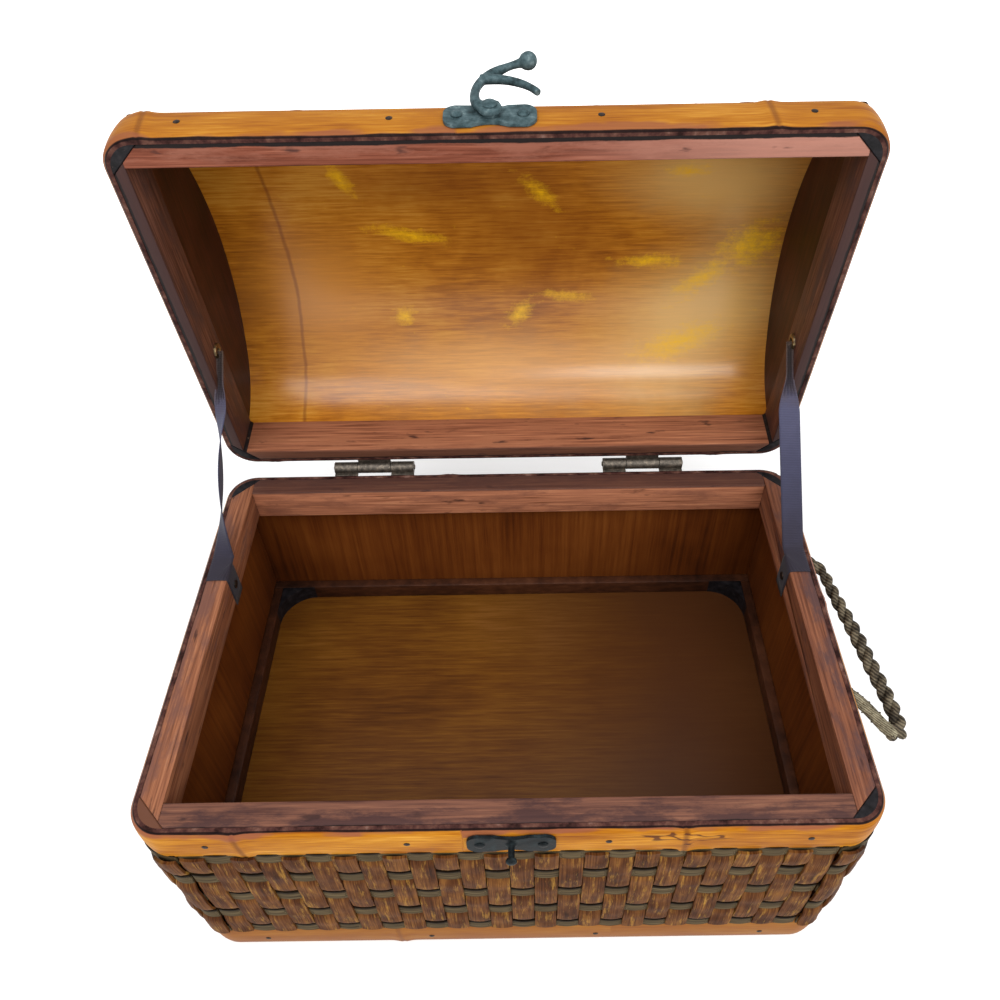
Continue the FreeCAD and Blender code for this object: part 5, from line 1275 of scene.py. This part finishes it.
# The ribs of the weave run across the ribbon, 0.8 mm apart.
ribs = add(tree, "ShaderNodeTexWave", {"Vector": cloth, "Scale": 400.0, "Distortion": 0.6},
           bands_direction="Y", wave_type="BANDS").outputs["Fac"]
dirt = add(tree, "ShaderNodeTexNoise", {"Vector": cloth, "Scale": 130.0, "Detail": 4.0})
fade = add(tree, "ShaderNodeMath", {0: dirt, 1: 0.02, 2: axes.outputs[1]}, operation="MULTIPLY_ADD")
fade = add(tree, "ShaderNodeMapRange", {0: fade, 1: 0.0, 2: 0.14})
tone = add(tree, "ShaderNodeValToRGB", {0: fade}, stops=[
    (0.0, "#201C22"), (0.30, "#2E2A36"), (0.55, "#3E3E54"), (0.75, "#4C4C64"), (0.88, "#54484A"),
    (1.0, "#5E4E44")])
threads = add(tree, "ShaderNodeMapRange", {0: ribs, 3: 0.82, 4: 1.08})
shade = add(tree, "ShaderNodeVectorMath", {0: tone, "Scale": threads}, operation="SCALE")
dress(tree, shader, shade.outputs[0], (ribs, 0.4, 0.0002))

eyelet_brass = spotted_metal("tarnished_eyelet_brass", 700.0,
                             [(0.35, "#4A3D2E"), (0.55, "#7D6A4C"), (0.75, "#A9946A")], 0.4, 0.9)

# The eyelets go through the lid's side strips, 5 mm thick, and the tacks into the rim's, 9.4 mm thick.
eyelet_spot = Vector((0, half_depth - 0.066, lid_floor + 0.0136))
lid_inner_x = lid_shell_x - 0.005
ring = [(0.0016, -0.0006), (0.0015, 0.0006), (0.0019, 0.0010), (0.0028, 0.0011), (0.0036, 0.0008),
        (0.0038, 0.0002), (0.0038, 0.0)]
set_out("eyelet_rings", ring, eyelet_brass,
        [((side * lid_inner_x, eyelet_spot.y, eyelet_spot.z), (-side, 0, 0)) for side in (-1, 1)],
        "lid", "ribbon", ["ribbon_eyelets"], on_lid=True)
rim_inner_x = shell_x - 0.0094
tail_face = rim_inner_x - 0.00065
tack_profile = [(0.0007, -0.005), (0.0007, 0.0), (0.0020, 0.0), (0.0019, 0.0004), (0.0012, 0.0007),
                (0.0003, 0.0008)]
set_out("tack_heads", tack_profile, nail_iron,
        [((side * tail_face, 0.029, base_height - 0.009), (-side, 0, 0)) for side in (-1, 1)],
        "base", "nail_steel", ["ribbon_tacks"])

low_y, rim_top = 0.0376, base_height + 0.0003
upper = opened_lid @ eyelet_spot
across, steps_up = 9, 40
ribbon_width, tail_y = 0.010, 0.024


def ribbon_rows(twist_at, shift):
    """Rows of points across the right-hand ribbon, from its tail over the rim to the eyelet."""
    edge_low, edge_high, crease_x, crease_rise = 0.1268, 0.1364, 0.1272, 0.0003
    half_flat, half_gathered, gathered_from, pleat_depth, belly_depth = 0.0048, 0.0014, 0.66, 0.0011, 0.0006
    rows = []
    for z in (0.1071, 0.1117, 0.1163, 0.1209, 0.1243):
        row = []
        for step in range(across):
            row.append(Vector((tail_face + 0.0003, tail_y + ribbon_width * step / (across - 1), z)))
        rows.append(row)
    for step_in in (0.0, 0.35, 0.7, 1.0):
        row = []
        for step in range(across):
            share = step / (across - 1)
            y = tail_y + ribbon_width * share
            fold_x = edge_high + (edge_low - edge_high) * share
            rise_in = crease_rise * math.sin(math.pi * step_in)
            row.append(Vector((crease_x + (fold_x - crease_x) * step_in, y, rim_top + rise_in)))
        rows.append(row)
    for step_on in (0.4, 0.8, 1.0):
        row = []
        for step in range(across):
            share = step / (across - 1)
            x = edge_high + (edge_low - edge_high) * share
            fold_y = tail_y + ribbon_width * share
            row.append(Vector((x, fold_y + (low_y - fold_y) * step_on, rim_top + 0.0002)))
        rows.append(row)
    start, end = Vector((0, low_y, rim_top)), Vector((0, upper.y, upper.z))
    along = (end - start).normalized()
    normal = Vector((0, along.z, -along.y))
    for place in range(1, steps_up + 1):
        share = place / steps_up
        # Below the eyelet the ribbon is gathered in pleats.
        gather = min(1.0, max(0.0, (share - gathered_from) / 0.2))
        gather = gather * gather * (3 - 2 * gather)
        half = half_flat * (1 - gather) + half_gathered * gather
        middle_x = 0.1316 + (0.1296 - 0.1316) * min(1, share * 1.4) - shift * math.sin(math.pi * share)
        turn = twist_at * math.sin(math.pi * min(1.0, share * 1.25)) ** 0.7 if share < 0.8 else 0.0
        row = []
        for step in range(across):
            spread = 1 - 2 * step / (across - 1)
            pleat = pleat_depth * gather * (1 if step % 2 else -1)
            belly = belly_depth * math.sin(math.pi * share) * (1 - spread * spread)
            side = half * spread
            offset = Vector((side * math.cos(turn), 0, 0)) + normal * (side * math.sin(turn) + pleat + belly)
            row.append(start + (end - start) * share + Vector((middle_x, 0, 0)) + offset)
        rows.append(row)
    return rows


for name, side, twist, shift in (("right", 1, 0.0, 0.0), ("left", -1, 1.45, -0.0012)):
    rows = ribbon_rows(twist, shift)
    gone = [0.0]
    for before, after in zip(rows, rows[1:]):
        gone.append(gone[-1] + (after[across // 2] - before[across // 2]).length)
    points = [(side * point.x, point.y, point.z) for row in rows for point in row]
    faces = []
    for place in range(len(rows) - 1):
        for step in range(across - 1):
            first = place * across + step
            quad = (first, first + 1, first + across + 1, first + across)
            faces.append(quad if side < 0 else tuple(reversed(quad)))
    mesh = bpy.data.meshes.new("stay_ribbon_" + name)
    mesh.from_pydata(points, [], faces)
    own = mesh.attributes.new("ribbon", "FLOAT_VECTOR", "POINT")
    for place in range(len(points)):
        row, step = divmod(place, across)
        own.data[place].vector = (ribbon_width * step / (across - 1), gone[row], side)
    mesh.materials.append(ribbon_cloth)
    stay = smooth(show("stay_ribbon_" + name, mesh), 75)
    thick = stay.modifiers.new("thick", "SOLIDIFY")
    thick.thickness = 0.0004
    thick.offset = 0.0
    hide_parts("ribbon_" + name)
    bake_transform(stay)

# Stage: a pale floor that keeps a soft shadow, a white surround, four soft lamps and the photograph's
# view. Floor and surround look white, but light the chest's sides less than that.
def looked_at(tree):
    """1 for the rays that look straight at a surface, mirrored ones too, and 0 for those that light it."""
    seen = add(tree, "ShaderNodeLightPath").outputs
    direct = add(tree, "ShaderNodeMath", {0: seen["Is Camera Ray"], 1: seen["Is Glossy Ray"]},
                 operation="MAXIMUM")
    return add(tree, "ShaderNodeMath", {0: direct, 1: seen["Is Transmission Ray"]}, operation="MAXIMUM")


floor_paint, tree, shader = new_finish("pale_floor", Roughness=0.9)
shader.inputs["Base Color"].default_value = linear("#F6F6F6")
# Near the chest the floor shows its shadow; farther off it fades into the white surround.
spot = add(tree, "ShaderNodeTexCoord").outputs["Object"]
away = add(tree, "ShaderNodeVectorMath", {0: spot}, operation="LENGTH")
level = add(tree, "ShaderNodeMapRange", {0: away.outputs["Value"], 1: 0.25, 2: 0.75, 3: 0.2, 4: 1.0})
glow = add(tree, "ShaderNodeMath", {0: looked_at(tree), 1: level}, operation="MULTIPLY")
shader.inputs["Emission Color"].default_value = (1, 1, 1, 1)
tree.links.new(glow.outputs[0], shader.inputs["Emission Strength"])
mesh = bpy.data.meshes.new("studio_floor")
mesh.from_pydata([(-6, -6, 0), (6, -6, 0), (6, 6, 0), (-6, 6, 0)], [], [(0, 1, 2, 3)])
mesh.materials.append(floor_paint)
show("studio_floor", mesh)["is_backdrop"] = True

world = bpy.data.worlds.new("soft_surround")
bpy.context.scene.world = world
world.use_nodes = True
tree = world.node_tree
backdrop = tree.nodes["Background"]
backdrop.inputs["Color"].default_value = (1, 1, 1, 1)
level = add(tree, "ShaderNodeMapRange", {0: looked_at(tree), 3: 0.55, 4: 1.0})
tree.links.new(level.outputs[0], backdrop.inputs["Strength"])

for name, place, aim, width, power in (
    ("key_lamp", (-0.45, -0.60, 1.25), (0, 0, 0.12), 0.7, 7.0),
    ("fill_lamp", (0.85, -0.55, 0.85), (0, 0, 0.15), 0.8, 3.0),
    ("top_lamp", (0.10, -0.10, 1.5), (0, 0, 0.1), 1.0, 6.5),
    ("window_lamp", (0.27, -1.00, 1.00), (0, 0, 0.2), 0.35, 4.0),
):
    lamp = bpy.data.lights.new(name, "AREA")
    lamp.shape = "SQUARE"
    lamp.size = width
    lamp.energy = power
    holder = bpy.data.objects.new(name, lamp)
    bpy.context.scene.collection.objects.link(holder)
    holder.location = place
    holder.rotation_euler = (Vector(aim) - Vector(place)).to_track_quat("-Z", "Y").to_euler()

# The photograph's camera, as solved from the chest's edges.
yaw, pitch, roll = -0.0042, 0.789, 0.0188
forward = Vector((math.sin(yaw) * math.cos(pitch), math.cos(yaw) * math.cos(pitch), -math.sin(pitch)))
level_right = Vector((math.cos(yaw), -math.sin(yaw), 0))
level_down = forward.cross(level_right)
view_right = math.cos(roll) * level_right + math.sin(roll) * level_down
view_down = math.cos(roll) * level_down - math.sin(roll) * level_right
lens = bpy.data.cameras.new("photo_view")
lens.sensor_width = 36.0
lens.lens = 31.158
lens.shift_x = -0.0221
lens.shift_y = -0.0378
lens.clip_start = 0.01
camera = bpy.data.objects.new("photo_view", lens)
bpy.context.scene.collection.objects.link(camera)
camera.matrix_world = Matrix.Translation((0.00833, -0.21476, 0.43927)) @ Matrix(
    (view_right, -view_down, -forward)).transposed().to_4x4()
bpy.context.scene.camera = camera
bpy.context.scene.view_settings.view_transform = "Standard"

low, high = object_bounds()
